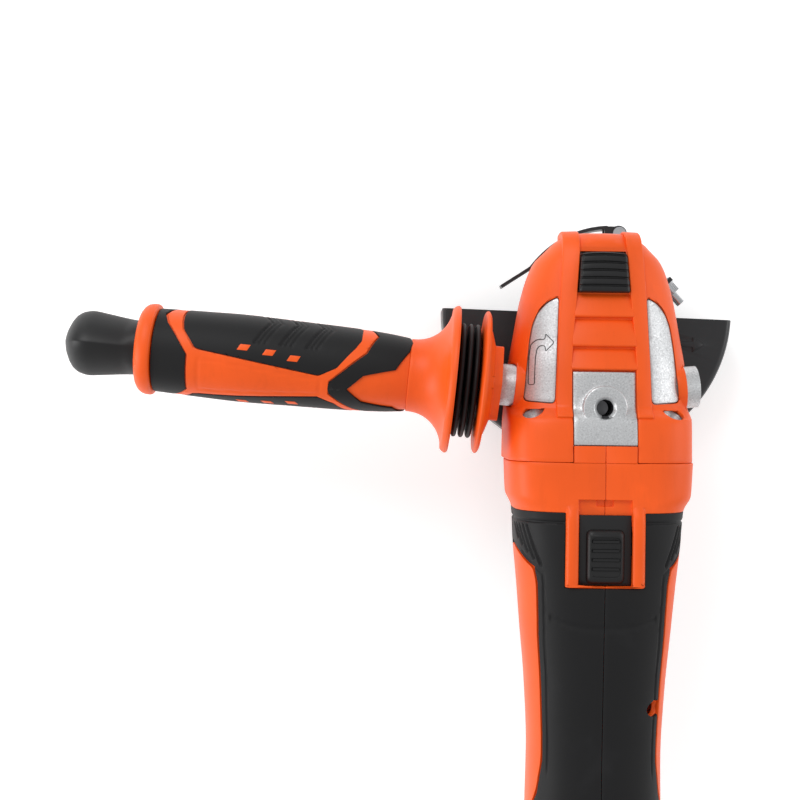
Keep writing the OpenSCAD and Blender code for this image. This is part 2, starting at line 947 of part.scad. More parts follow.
module switch_slider() {
    color(black)
        union() {
            // Plate, with a wing under the right rail of the frame
            block([-slider_half, slot_y[0], slider_z[0]], [slider_half, slot_y[1] - 0.2, slider_z[1]]);
            block([slider_half - 1, -108.6, slider_z[0]], [16.4, -103.4, slider_z[1]]);
            block([13.6, -108.6, 79.4], [16.4, -103.4, slider_z[1]]);
            // Raised thumb pad
            hull() {
                block([-8.2, slot_y[0] + 0.8, slider_z[1] - 0.2], [8.2, pad_front, slider_z[1] + 0.6]);
                block([-7.2, slot_y[0] + 2.2, slider_z[1]], [7.2, pad_front - 1.7, slider_z[1] + 3.2]);
            }
            for (i = [0:3])
                translate([-6.4, pad_front - 4.7 - 4 * i, slider_z[1] + 3.2])
                    rotate([0, 90, 0])
                        cylinder(h = 12.8, r = 0.9, $fn = 24);
        }
}

module switch_rod() {
    color(steel)
        union() {
            y_rod(finger_y[0], -104.4, 1.2, rod_x, rod_z);
            block([14, -107.6, 78.3], [19, -104.4, 79.4]);
            block([13.3, finger_y[0], 76.4], [19.4, finger_y[1], 78.4]);
        }
}

// ---------- gears and spindle ----------

// Angle over which an involute has turned at radius r from its base radius
function involute_turn(base, r) = r <= base ? 0 : let (a = acos(base / r)) tan(a) - a * PI / 180;

// Half a bevel tooth on its unrolled back cone, as [radius, angle in radians]
function half_tooth(teeth_pitch_r, addendum, dedendum, thickness) =
    let (base = teeth_pitch_r * cos(25),
        root = teeth_pitch_r - dedendum,
        tip = teeth_pitch_r + addendum,
        low = max(base, root),
        at_pitch = thickness / 2 / teeth_pitch_r + involute_turn(base, teeth_pitch_r),
        flank = [for (i = [0:2]) let (r = low + (tip - low) * i / 2) [r, at_pitch - involute_turn(base, r)]],
        foot = root < base ? [[root, at_pitch]] : [])
    concat([[root - 0.6, flank[0][1]]], foot, flank);

// Bevel tooth with its apex at the origin and its gear along +Z
module bevel_tooth(cone, addendum, dedendum, thickness) {
    side = half_tooth(cone_len * tan(cone), addendum, dedendum, thickness);
    n = len(side);
    profile = concat([for (p = side) [p[0], -p[1]]], [for (i = [n - 1:-1:0]) side[i]]);
    points = [for (s = [1, small_end], p = profile)
        let (turn = p[1] / cos(cone) * 180 / PI, r = p[0] * cos(cone) * s)
            [r * cos(turn), r * sin(turn), s * (cone_len / cos(cone) - p[0] * sin(cone))]];
    m = 2 * n;
    polyhedron(
        points = points,
        faces = concat(
            [[for (i = [0:m - 1]) i]],
            [[for (i = [2 * m - 1:-1:m]) i]],
            [for (i = [0:m - 1]) each [[i, i + m, (i + 1) % m], [(i + 1) % m, i + m, (i + 1) % m + m]]]));
}

// Point on the root cone at a slant distance from the apex, as [radius, height]
function root_point(cone, dedendum, slant) =
    let (back = cone_len * tan(cone) - dedendum, k = slant / cone_len)
        [back * cos(cone) * k, (cone_len / cos(cone) - back * sin(cone)) * k];

pinion_addendum = 1.15;
pinion_dedendum = 0.95;
pinion_tooth_t = 1.75;
crown_addendum = 0.65;
crown_dedendum = 1.35;
crown_tooth_t = 1.55;

module pinion() {
    big = root_point(cone_angle, pinion_dedendum, cone_len + 0.3);
    small = root_point(cone_angle, pinion_dedendum, cone_len - face_w - 0.3);
    color(steel)
        translate([0, 0, motor_z])
            rotate([90, 0, 0])
                difference() {
                    union() {
                        rotate_extrude($fn = 50)
                            polygon([[2.5, small[1]], small, big, [5, big[1] + 0.5], [5, 27.8], [2.5, 27.8]]);
                        for (i = [0:pinion_teeth - 1])
                            rotate([0, 0, 90 + 360 * i / pinion_teeth])
                                hull()
                                    bevel_tooth(cone_angle, pinion_addendum, pinion_dedendum, pinion_tooth_t);
                    }
                    translate([0, 0, 10]) cylinder(h = 30, r = 3.03, $fn = 32);
                }
}

module crown_gear() {
    cone = 90 - cone_angle;
    big = root_point(cone, crown_dedendum, cone_len + 0.3);
    small = root_point(cone, crown_dedendum, cone_len - face_w - 0.3);
    web_drop = motor_z - web_low;
    bore_r = shaft_r + 0.03;
    color(steel)
        difference() {
            union() {
                translate([0, 0, motor_z])
                    rotate([180, 0, 0]) {
                        rotate_extrude($fn = 40)
                            polygon([small, big, [big[0], web_drop], [small[0] - 1, web_drop],
                                [small[0] - 1, small[1] + 0.4]]);
                        for (i = [0:crown_teeth - 1])
                            rotate([0, 0, 90 + 360 * (i + 0.5) / crown_teeth])
                                hull()
                                    bevel_tooth(cone, crown_addendum, crown_dedendum, crown_tooth_t);
                    }
                ring(bore_r, small[0], web_low, web_high, $fn = 40);
                ring(bore_r, 8.8, bearing_high + 0.05, 50, $fn = 40);
            }
            for (i = [0:7])
                rotate([0, 0, 45 * i + 90])
                    translate([lock_r, 0, web_low - 1])
                        cylinder(h = 5, r = 3, $fn = 20);
        }
}

module pinion_nut() {
    color(steel)
        difference() {
            y_rod_hex(-17.6, -12.6, 5);
            y_rod(-20, -10, 3);
        }
}

module y_rod_hex(y0, y1, r) {
    translate([0, y1, motor_z])
        rotate([90, 0, 0])
            cylinder(h = y1 - y0, r = r, $fn = 6);
}

module spindle() {
    color(steel)
        union() {
            rotate_extrude()
                polygon([[0, 0], [thread_r - 1, 0], [thread_r, 1], [thread_r, 14.2], [0, 14.2]]);
            intersection() {
                translate([0, 0, 14.1]) cylinder(h = flange_top - 14, r = 7.6);
                block([-10, -6, 14], [10, 6, 20]);
            }
            translate([0, 0, flange_top]) cylinder(h = collar_top - flange_top, r = 11);
            translate([0, 0, collar_top - eps]) cylinder(h = 50 - collar_top, r = shaft_r);
            translate([0, 0, 49]) cylinder(h = spindle_top - 49, r = top_pin_r);
        }
}

module inner_flange() {
    color(steel)
        difference() {
            union() {
                translate([0, 0, seat_z]) cylinder(h = flange_top - seat_z, r = 20);
                translate([0, 0, seat_z - 1.6]) cylinder(h = 2, r = 11.1);
            }
            translate([0, 0, 5]) cylinder(h = 9.2, r = thread_r);
            intersection() {
                translate([0, 0, 14]) cylinder(h = 6, r = 7.6);
                block([-10, -6, 14], [10, 6, 20]);
            }
            // Relief so that only the rim presses on the disc
            difference() {
                translate([0, 0, seat_z - 0.6]) cylinder(h = 1.2, r = 15.5);
                translate([0, 0, seat_z - 2]) cylinder(h = 4, r = 11.1);
            }
        }
}

module retaining_ring() {
    color(steel)
        ring(top_pin_r, 7.4, 50.05, 51.2);
}

nut_z = [3.2, 11.2];
nut_hole_r = 15;
module clamp_nut() {
    color(black)
        difference() {
            union() {
                translate([0, 0, nut_z[0] + 3]) cylinder(h = nut_z[1] - nut_z[0] - 3, r = 20);
                translate([0, 0, nut_z[0]]) cylinder(h = 4, r = 13);
            }
            translate([0, 0, 0]) cylinder(h = 20, r = thread_r + 0.05);
            translate([0, 0, nut_z[1] - 2.2]) cylinder(h = 4, r = 11.5);
            // Holes for a pin spanner
            for (a = [0:90:270])
                rotate([0, 0, a])
                    translate([nut_hole_r + 1.6, 0, 0])
                        cylinder(h = 20, r = 2.5);
        }
}

module button_slab(inset, y, z) {
    block([-button_half + inset, y[0], z[0]], [button_half - inset, y[1], z[1]]);
}

module lock_button() {
    color(black)
        difference() {
            union() {
                hull() {
                    button_slab(0, [button_y[0], button_y[1]], [button_z[0], button_z[0] + 2]);
                    button_slab(0.8, [button_y[0] + 0.6, button_y[0] + 2], [button_z[0] + 4, button_z[1]]);
                    button_slab(1.4, [button_y[1] - 2.6, button_y[1] - 1.2],
                        [button_z[0] + 2, button_z[1] - 1.6]);
                }
                for (i = [0:4])
                    translate([-8.2, button_y[0] + 2.6 + 2.9 * i, button_z[1] - 0.35 - 0.37 * i])
                        rotate([0, 90, 0])
                            cylinder(h = 16.4, r = 0.9, $fn = 24);
            }
            translate([0, lock_r, button_z[0] - 1]) cylinder(h = 4, r = 2.6);
        }
}

module lock_pin() {
    color(steel)
        union() {
            translate([0, lock_r, pin_tip]) cylinder(h = button_z[0] + 3 - pin_tip, r = 2.6);
            translate([0, lock_r, 53.2]) cylinder(h = 1, r = 3.2);
        }
}

module lock_spring() {
    color(steel)
        translate([0, lock_r, spring_z[0]])
            turns(3.9, 0.4, spring_z[1] - spring_z[0], 5);
}

// ---------- guard ----------

module guard_turn() {
    rotate([0, 0, -guard_turned])
        children();
}

module guard() {
    color(black)
        guard_turn()
            union() {
                // Half disc with its rim and rolled lip
                intersection() {
                    union() {
                        ring(guard_r - guard_sheet, guard_r, guard_low, guard_top);
                        ring(guard_r - 5.5, guard_r, guard_low, guard_low + guard_sheet);
                        ring(neck_r + 0.3, guard_r, guard_top - guard_sheet, guard_top);
                    }
                    block([-80, -80, -20], [80, -1.6, 60]);
                }
                ring(neck_r + 0.3, 30, guard_top - guard_sheet, guard_top);
                ring(neck_r + 0.3, neck_r + 1.8, guard_top - guard_sheet, 33.6);
                // Raised direction arrow
                translate([50, -14, guard_top - eps])
                    linear_extrude(height = 0.5)
                        polygon([[-6, -1.2], [1, -1.2], [1, -4], [6.5, 0], [1, 4], [1, 1.2], [-6, 1.2]]);
            }
}

band_in = neck_r + 1.85;
band_out = neck_r + 3.3;

// Frame of the eye bolt: x runs from the pivot to the nut, y points inwards
module on_bolt() {
    translate([pivot[0], pivot[1], 0])
        rotate([0, 0, bolt_angle])
            children();
}

ear_x = [9, 32];
module clamp_band() {
    color(black)
        difference() {
            union() {
                difference() {
                    ring(band_in, band_out, clamp_z[0], clamp_z[1]);
                    on_bolt() block([ear_x[0] + 2, -40, 0], [ear_x[1] - 2, 20, 60]);
                }
                on_bolt()
                    difference() {
                        for (x = ear_x)
                            block([x - 1, -24, clamp_z[0]], [x + 1, 4, clamp_z[1]]);
                        translate(inverse_on_bolt()) cylinder(h = 60, r = band_in + 0.4);
                    }
            }
            on_bolt()
                translate([0, 0, bolt_z])
                    rotate([0, 90, 0])
                        cylinder(h = 60, r = 2.2);
        }
}

bolt_z = 29.2;
// The spindle's axis in the eye bolt's frame
function inverse_on_bolt() = [
    -pivot[0] * cos(bolt_angle) - pivot[1] * sin(bolt_angle),
    pivot[0] * sin(bolt_angle) - pivot[1] * cos(bolt_angle),
    0];

module clamp_screw() {
    color(steel) {
        on_bolt()
            translate([0, 0, bolt_z]) {
                difference() {
                    union() {
                        rotate([0, 90, 0]) cylinder(h = bolt_len + 1.5, r = 2);
                        translate([0, 0, -2]) cylinder(h = 4, r = 4);
                    }
                    translate([0, 0, -5]) cylinder(h = 10, r = 2);
                }
                // Lock nut and its washer on the far ear
                translate([ear_x[1] + 1, 0, 0])
                    rotate([0, 90, 0])
                        difference() {
                            union() {
                                cylinder(h = 1, r = 4.4);
                                translate([0, 0, 1]) cylinder(h = 4, r = 4.2, $fn = 6);
                            }
                            translate([0, 0, -1]) cylinder(h = 10, r = 2);
                        }
            }
        // Pivot pin with riveted ends
        translate([pivot[0], pivot[1], clamp_z[0] - 0.8]) cylinder(h = clamp_z[1] - clamp_z[0] + 1.6, r = 2);
        translate([pivot[0], pivot[1], clamp_z[0] - 1]) cylinder(h = 0.9, r = 3);
        translate([pivot[0], pivot[1], clamp_z[1] + 0.1]) cylinder(h = 0.9, r = 3);
    }
}

module lever_arc(a0, a1, z0, z1, r0, r1) {
    translate([lever_centre[0], lever_centre[1], z0])
        rotate([0, 0, a0])
            rotate_extrude(angle = a1 - a0)
                translate([r0, 0])
                    square([r1 - r0, z1 - z0]);
}

module clamp_lever() {
    pivot_a = atan2(pivot[1] - lever_centre[1], pivot[0] - lever_centre[0]);
    fork_in = norm(pivot - lever_centre) - 3;
    color(black)
        difference() {
            union() {
                lever_arc(pivot_a + 7, 146, clamp_z[0], clamp_z[1], lever_r - 0.2, lever_r + 1.4);
                // Fork around the eye of the bolt
                for (z = [clamp_z[0] + 0.1, clamp_z[1] - 1.9]) {
                    lever_arc(pivot_a, pivot_a + 9, z, z + 1.8, fork_in, lever_r + 1.1);
                    translate([pivot[0], pivot[1], z]) cylinder(h = 1.8, r = 3.6);
                }
                // Tail that flares outwards for the finger
                translate(concat(lever_centre, [clamp_z[0] + 0.05]))
                    rotate([0, 0, 145.2])
                        translate([lever_r, 0, 0])
                            rotate([0, 0, -22])
                                cube([1.5, 16.5, clamp_z[1] - clamp_z[0] - 0.1]);
            }
            translate([pivot[0], pivot[1], 0]) cylinder(h = 60, r = 2.06);
        }
}

// ---------- side handle ----------

module handle_stud() {
    color(steel)
        on_handle()
            union() {
                translate([0, 0, -15.5]) cylinder(h = 49.5, r = m8_r - 0.05);
                translate([0, 0, 5]) cylinder(h = 3, r = 8);
            }
}

module handle_hub() {
    color(orange)
        on_handle()
            difference() {
                union() {
                    translate([0, 0, hub_s[0]]) cylinder(h = 5.6, r = 19, $fn = 6);
                    rotate_extrude()
                        polygon([[0, 4], [18, 4], [24, 6.2], [31, 6.8], [32, 8], [31.4, 9.4],
                            [20, hub_s[1]], [0, hub_s[1]]]);
                }
                cylinder(h = 30, r = m8_r + 0.05, center = true);
                translate([0, 0, 4.9]) cylinder(h = 6, r = 8.08);
            }
}

module damping_discs() {
    color(black)
        on_handle()
            difference() {
                union() {
                    translate([0, 0, hub_s[1]]) cylinder(h = core_s - hub_s[1], r = 11);
                    for (i = [0:2])
                        translate([0, 0, disc_s + disc_pitch * i]) cylinder(h = disc_t, r = 25.5);
                }
                cylinder(h = 60, r = m8_r + 0.1);
            }
}

// Concave trumpet from the flange down to the neck of the grip
trumpet = [for (a = [0:15:90]) [16 + 15.4 * (1 - sin(a)), 24 + 15 * (1 - cos(a))]];

module handle_core() {
    color(orange)
        on_handle()
            difference() {
                rotate_extrude()
                    polygon(concat(
                        [[0, core_s], [20, core_s], [flange_r - 0.6, core_s + 0.4], [flange_r, core_s + 1.6],
                            [flange_r - 0.8, core_s + 3]],
                        trumpet,
                        [[16, 41], [15.2, 41], [15.2, ring_s[0]], [0, ring_s[0]]]));
                cylinder(h = 60, r = m8_r + 0.1);
                translate([0, 0, 28.4]) cylinder(h = 200, r = 12.5);
            }
}

module handle_nut() {
    color(steel)
        on_handle()
            translate([0, 0, 28.4])
                difference() {
                    cylinder(h = 4.8, r = 7.4, $fn = 6);
                    translate([0, 0, -1]) cylinder(h = 8, r = m8_r);
                }
}

grip_profile = [[16.4, 41.2], [17.6, 52], [18.5, 68], [19.1, 92], [grip_r, 116], [19.2, 134],
    [18.6, ring_s[0] - 0.4]];

module handle_grip() {
    color(black)
        on_handle()
            rotate_extrude()
                polygon(concat(grip_profile, [[15.2, ring_s[0] - 0.4], [15.2, 41.2]]));
}

module end_ring() {
    color(orange)
        on_handle()
            rotate_extrude()
                polygon([[12.5, ring_s[0]], [19.6, ring_s[0]], [20.4, ring_s[0] + 1], [20.4, ring_s[1] - 3],
                    [19, ring_s[1] - 0.6], [17, ring_s[1]], [14, ring_s[1]], [12.5, ring_s[1] - 1.2]]);
}

key_out = 195;
module key_grip() {
    color(black)
        on_handle()
            difference() {
                rotate_extrude()
                    polygon([[0, 146], [12, 146], [12.2, 148], [12.2, 164.6], [12.6, 168], [14.2, 172.5],
                        [14.4, 178], [13.8, 184], [11.6, 189.4], [7.6, 193.4], [2.6, key_out], [0, key_out]]);
                translate([0, 0, 140]) cylinder(h = 42, r = 3, $fn = 6);
            }
}

module key_shank() {
    color(steel)
        on_handle()
            translate([0, 0, 62]) cylinder(h = 120, r = 3, $fn = 6);
}

gear_case();
head_cover();
bearing_flange();
flange_screws();
case_screws();
spindle_bearing();
needle_bush();
pinion_bearing();
rear_bearing();
bearing_sleeve();
bearing_plate();
dust_seal();
housing_left();
housing_right();
grip_left();
grip_right();
housing_screws();
stator_core();
field_coils();
fan_baffle();
brush_holders();
switch_module();
capacitor();
cord_inlet();
cord_clamp();
lock_spring();
armature_shaft();
armature_core();
armature_windings();
commutator();
cooling_fan();
pinion();
pinion_nut();
spindle();
crown_gear();
inner_flange();
retaining_ring();
clamp_nut();
lock_button();
lock_pin();
switch_slider();
switch_rod();
guard();
clamp_band();
clamp_screw();
clamp_lever();
handle_stud();
handle_core();
handle_grip();
handle_hub();
damping_discs();
handle_nut();
end_ring();
key_shank();
key_grip();
brush_left();
brush_right();
brush_spring_left();
brush_spring_right();
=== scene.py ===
"""Looks of an angle grinder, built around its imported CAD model.

Lengths in this script are millimetres until they reach a mesh, and the frame is the CAD's: the spindle
is the Z axis, +Y is the nose, -Y the motor housing, and the side handle points to -X.
"""
import json
import math

import bmesh
import bpy
from mathutils import Matrix, Vector


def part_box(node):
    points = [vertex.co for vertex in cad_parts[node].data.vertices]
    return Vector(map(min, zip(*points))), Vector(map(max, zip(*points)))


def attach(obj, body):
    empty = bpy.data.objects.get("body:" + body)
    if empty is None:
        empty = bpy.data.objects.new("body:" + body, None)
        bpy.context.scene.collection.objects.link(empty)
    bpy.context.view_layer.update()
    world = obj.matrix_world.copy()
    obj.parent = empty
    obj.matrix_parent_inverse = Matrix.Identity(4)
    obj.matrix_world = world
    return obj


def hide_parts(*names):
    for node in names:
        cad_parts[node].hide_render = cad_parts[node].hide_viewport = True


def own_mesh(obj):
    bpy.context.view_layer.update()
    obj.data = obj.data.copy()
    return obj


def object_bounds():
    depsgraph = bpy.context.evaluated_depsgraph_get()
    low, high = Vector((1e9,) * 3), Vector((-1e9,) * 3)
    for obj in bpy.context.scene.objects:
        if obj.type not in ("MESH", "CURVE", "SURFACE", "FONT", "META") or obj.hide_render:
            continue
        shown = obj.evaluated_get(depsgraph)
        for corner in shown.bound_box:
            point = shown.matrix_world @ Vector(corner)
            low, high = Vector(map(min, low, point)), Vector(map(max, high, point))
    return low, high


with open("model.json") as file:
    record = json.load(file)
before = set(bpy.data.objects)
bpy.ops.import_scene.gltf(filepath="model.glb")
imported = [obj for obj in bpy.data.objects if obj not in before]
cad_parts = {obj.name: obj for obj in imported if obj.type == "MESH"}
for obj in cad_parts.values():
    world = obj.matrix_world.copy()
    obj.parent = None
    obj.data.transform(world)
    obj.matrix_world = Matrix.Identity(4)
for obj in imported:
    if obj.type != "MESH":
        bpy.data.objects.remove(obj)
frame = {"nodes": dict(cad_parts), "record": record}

cad_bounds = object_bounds()
MM = 0.001


# ---------- places taken from the frame ----------

def low(node, axis):
    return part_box(node)[0][axis] / MM


def high(node, axis):
    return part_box(node)[1][axis] / MM


MOTOR_Z = (low("commutator", 2) + high("commutator", 2)) / 2
NOSE_Y = high("head_cover", 1)
JOINT_Y = low("head_cover", 1)
REAR_Y = low("housing_left", 1)
GRIP_FRONT = high("grip_left", 1)
GRIP_REAR = low("grip_left", 1)
GUARD_R = 69.0
GUARD_TOP = 23.5
GUARD_LOW = low("guard", 2)
GUARD_TURN = math.radians(-1.7)
HANDLE_Z = (low("end_ring", 2) + high("end_ring", 2)) / 2
HANDLE_BACK = 36.0
HANDLE_LEAN = math.radians(5)
BOSS_X = 44.0
HOLE_Y = -46.0
HOLE_TOP = 81.4
HOLE_R = 4.0
LOCK_R = (low("lock_pin", 1) + high("lock_pin", 1)) / 2
SLOT = (low("switch_slider", 1), high("switch_slider", 1) + 0.2)
SLIDER_TOP = 85.0
SLOT_FLOOR = 83.2
SEAM = 0.06

COVER_WALL = 2.4
SHELL_WALL = 3.0
SKIN = 1.2
CASE_SCREW_X = 30.4
CASE_SCREW_Z = (MOTOR_Z - 19.5, MOTOR_Z + 18)
SCREW_HEAD_R = 3.5
SHELL_SCREWS = ((-134, 23.4), (-134, -23.4), (-176, 21), (-176, -22), (-226, 20.5), (-226, -21))


# ---------- mesh helpers ----------

def new_object(name, bm):
    """Turns a bmesh in millimetres into an object in metres."""
    bmesh.ops.recalc_face_normals(bm, faces=bm.faces)
    bmesh.ops.scale(bm, vec=(MM, MM, MM), verts=bm.verts)
    mesh = bpy.data.meshes.new(name)
    bm.to_mesh(mesh)
    bm.free()
    obj = bpy.data.objects.new(name, mesh)
    bpy.context.scene.collection.objects.link(obj)
    return obj


def loft(name, rings, place=None):
    """Closed solid through rings of equally many points."""
    bm = bmesh.new()
    rows = [[bm.verts.new(p) for p in ring] for ring in rings]
    count = len(rows[0])
    for a, b in zip(rows, rows[1:]):
        for i in range(count):
            j = (i + 1) % count
            bm.faces.new((a[i], a[j], b[j], b[i]))
    bm.faces.new(rows[0][::-1])
    bm.faces.new(rows[-1])
    if place:
        bmesh.ops.transform(bm, matrix=place, verts=bm.verts)
    return new_object(name, bm)


def prism(name, outline, start, end, axis="z", place=None):
    """Outline extruded along an axis: for z it is (x, y), for x it is (y, z), for y it is (x, z)."""
    def point(p, level):
        if axis == "z":
            return (p[0], p[1], level)
        if axis == "x":
            return (level, p[0], p[1])
        return (p[0], level, p[1])
    return loft(name, [[point(p, start) for p in outline], [point(p, end) for p in outline]], place)


def box(name, a, b, place=None):
    outline = [(a[0], a[1]), (b[0], a[1]), (b[0], b[1]), (a[0], b[1])]
    return prism(name, outline, a[2], b[2], "z", place)


def ring_of(radius, count):
    """Points evenly spaced on a circle."""
    turns = [2 * math.pi * i / count for i in range(count)]
    return [(radius * math.cos(t), radius * math.sin(t)) for t in turns]


def turned(name, profile, place=None, steps=96):
    """Closed profile of (radius, height) turned about Z."""
    bm = bmesh.new()
    rows = []
    for radius, height in profile:
        if radius < 1e-6:
            rows.append([bm.verts.new((0, 0, height))] * steps)
        else:
            rows.append([bm.verts.new((x, y, height)) for x, y in ring_of(radius, steps)])
    for k, row in enumerate(rows):
        other = rows[(k + 1) % len(rows)]
        for i in range(steps):
            j = (i + 1) % steps
            corners = list(dict.fromkeys((row[i], row[j], other[j], other[i])))
            if len(corners) > 2:
                bm.faces.new(corners)
    if place:
        bmesh.ops.transform(bm, matrix=place, verts=bm.verts)
    return new_object(name, bm)


def rod(name, start, end, radius, steps=48):
    """Cylinder between two points."""
    start, end = Vector(start), Vector(end)
    place = Matrix.Translation(start) @ (end - start).to_track_quat("Z", "Y").to_matrix().to_4x4()
    length = (end - start).length
    return turned(name, [(0, 0), (radius, 0), (radius, length), (0, length)], place, steps)


def apply_modifiers(obj):
    graph = bpy.context.evaluated_depsgraph_get()
    mesh = bpy.data.meshes.new_from_object(obj.evaluated_get(graph))
    obj.modifiers.clear()
    old = obj.data
    obj.data = mesh
    bpy.data.meshes.remove(old)


def combine(obj, tools, operation="DIFFERENCE"):
    """Boolean of one object with a list of tools, which are used up."""
    for tool in tools:
        step = obj.modifiers.new("step", "BOOLEAN")
        step.operation = operation
        step.solver = "EXACT"
        step.object = tool
    apply_modifiers(obj)
    for tool in tools:
        bpy.data.objects.remove(tool)
    return obj


def joined(name, parts):
    """One object out of several that don't need a boolean."""
    bm = bmesh.new()
    for part in parts:
        bm.from_mesh(part.data)
        bpy.data.objects.remove(part)
    bmesh.ops.scale(bm, vec=(1 / MM, 1 / MM, 1 / MM), verts=bm.verts)
    return new_object(name, bm)


def soften(obj, width=0.4, angle=38, segments=2, weld=0.1):
    """Rounds the sharp edges and shades the rest smoothly."""
    bm = bmesh.new()
    bm.from_mesh(obj.data)
    bmesh.ops.remove_doubles(bm, verts=bm.verts, dist=weld * MM)
    bmesh.ops.dissolve_degenerate(bm, edges=bm.edges, dist=weld * MM)
    bm.to_mesh(obj.data)
    bm.free()
    if width:
        bevel = obj.modifiers.new("round", "BEVEL")
        bevel.width = width * MM
        bevel.segments = segments
        bevel.limit_method = "ANGLE"
        bevel.angle_limit = math.radians(angle)
        bevel.use_clamp_overlap = False
        apply_modifiers(obj)
    smooth(obj)
    return obj


def smooth(obj, angle=38):
    for face in obj.data.polygons:
        face.use_smooth = True
    obj.data.set_sharp_from_angle(angle=math.radians(angle))
    return obj


def rounded(outline, radius, steps=5):
    """Outline with its corners rounded."""
    points = []
    count = len(outline)
    for i in range(count):
        corner = Vector(outline[i])
        before = Vector(outline[i - 1]) - corner
        after = Vector(outline[(i + 1) % count]) - corner
        cut = min(radius, before.length * 0.45, after.length * 0.45)
        a = corner + before.normalized() * cut
        b = corner + after.normalized() * cut
        for k in range(steps + 1):
            t = k / steps
            points.append(tuple(a * (1 - t) ** 2 + corner * 2 * t * (1 - t) + b * t ** 2))
    return points


def slopes(xs, ys):
    """Slopes of a smooth curve through the points that never overshoots."""
    secants = [(ys[i + 1] - ys[i]) / (xs[i + 1] - xs[i]) for i in range(len(xs) - 1)]
    result = [secants[0]]
    for a, b in zip(secants, secants[1:]):
        result.append(0 if a * b <= 0 else 2 * a * b / (a + b))
    return result + [secants[-1]]


def curve(stations, y):
    """Every column of the stations at y, smoothly between them. Stations fall in y."""
    ys = [-s[0] for s in stations]
    x = min(max(-y, ys[0]), ys[-1])
    k = max(i for i in range(len(ys) - 1) if ys[i] <= x or i == 0)
    h = ys[k + 1] - ys[k]
    t = (x - ys[k]) / h
    values = []
    for column in range(1, len(stations[0])):
        line = [s[column] for s in stations]
        m = slopes(ys, line)
        values.append(line[k] * (1 + 2 * t) * (1 - t) ** 2 + m[k] * h * t * (1 - t) ** 2
                      + line[k + 1] * t * t * (3 - 2 * t) + m[k + 1] * h * t * t * (t - 1))
    return values


def power(value, exponent):
    return math.copysign(abs(value) ** exponent, value)


def spread(start, end, step):
    """Evenly spaced values from start to end, both included."""
    count = max(1, round(abs(end - start) / step))
    return [start + (end - start) * i / count for i in range(count + 1)]


# ---------- shapes shared by several pieces ----------

# Head from nose to joint: y, half width, lower edge, shoulder, top, squareness
HEAD = [
    (NOSE_Y, 12, 47, 52, 60, 2.6), (NOSE_Y - 1.2, 15.5, 46, 52, 63.5, 2.5),
    (NOSE_Y - 4, 20, 45, 52, 67, 2.4), (24.5, 23.6, 44.5, 51, 69.5, 2.4),
    (19.6, 28.3, 44, 50, 71, 2.4), (12, 31.6, 44, 50, 72, 2.4),
    (1, 34.6, 44, 50, 73.2, 2.4), (-15, 37.4, 44, 51, 75, 2.4),
    (-28, 39.5, 44, 52, 76.5, 2.5), (-46, 41, 42, 52, 78.5, 2.5),
    (-51.5, 41, 36, 52, 82, 4.2), (JOINT_Y, 41, 34, 52, 84.5, 4.2)]

# Motor housing from joint to rear end: y, half width, height and depth about the axis, squareness
BODY = [
    (JOINT_Y, 41, 28.5, 28.5, 4.2), (-84, 40.3, 29, 28.5, 4), (-91, 37.6, 30, 28.8, 3.2),
    (-106, 36.8, 30.8, 29.4, 2.8), (-125, 35, 30.8, 29.6, 2.6), (-144, 33.4, 30, 29.6, 2.5),
    (-170, 31, 29, 29.2, 2.5), (-200, 29.6, 28, 28.6, 2.5), (-230, 30, 28.4, 29, 2.5),
    (REAR_Y + 6, 29.2, 27.6, 28.2, 2.5), (REAR_Y + 1.5, 27, 25.4, 26, 2.6), (REAR_Y, 25, 23.4, 24, 2.6)]


def head_ring(y, inset=0.0, bottom=None, steps=44):
    a, base, shoulder, top, n = curve(HEAD, y)
    base = base if bottom is None else bottom
    a, top = a - inset, top - inset
    points = [(a, base)]
    for i in range(steps + 1):
        t = math.pi * i / steps
        points.append((a * power(math.cos(t), 2 / n),
                       shoulder + (top - shoulder) * power(math.sin(t), 2 / n)))
    points.append((-a, base))
    front = y - inset if y > 20 else y
    return [(p[0], front, p[1]) for p in points]


def head_height(x, y, inset=0.0):
    """Height of the head's skin over a point."""
    a, _, shoulder, top, n = curve(HEAD, y)
    a, top = a - inset, top - inset
    return shoulder + (top - shoulder) * max(0, 1 - (abs(x) / a) ** n) ** (1 / n)


def head_loft(name, inset, bottom=None, step=2.0):
    ys = [NOSE_Y, NOSE_Y - 0.6] + spread(NOSE_Y - 1.2, -46, step) + spread(-47, JOINT_Y, 1.8)
    return loft(name, [head_ring(y, inset, bottom) for y in ys])


def body_point(y, t, inset=0.0):
    """Point of the housing's skin: t is degrees from the +X side towards the top."""
    a, up, down, n = curve(BODY, y)
    s, c = math.sin(math.radians(t)), math.cos(math.radians(t))
    tall = (up if s > 0 else down) - inset
    return ((a - inset) * power(c, 2 / n), y, MOTOR_Z + tall * power(s, 2 / n))


def on_handle(side=-1):
    """Frame of the side handle: Z runs outwards from the boss face."""
    return (Matrix.Translation((side * BOSS_X, -HANDLE_BACK, HANDLE_Z))
            @ Matrix.Rotation(side * HANDLE_LEAN, 4, "Z") @ Matrix.Rotation(side * math.pi / 2, 4, "Y"))


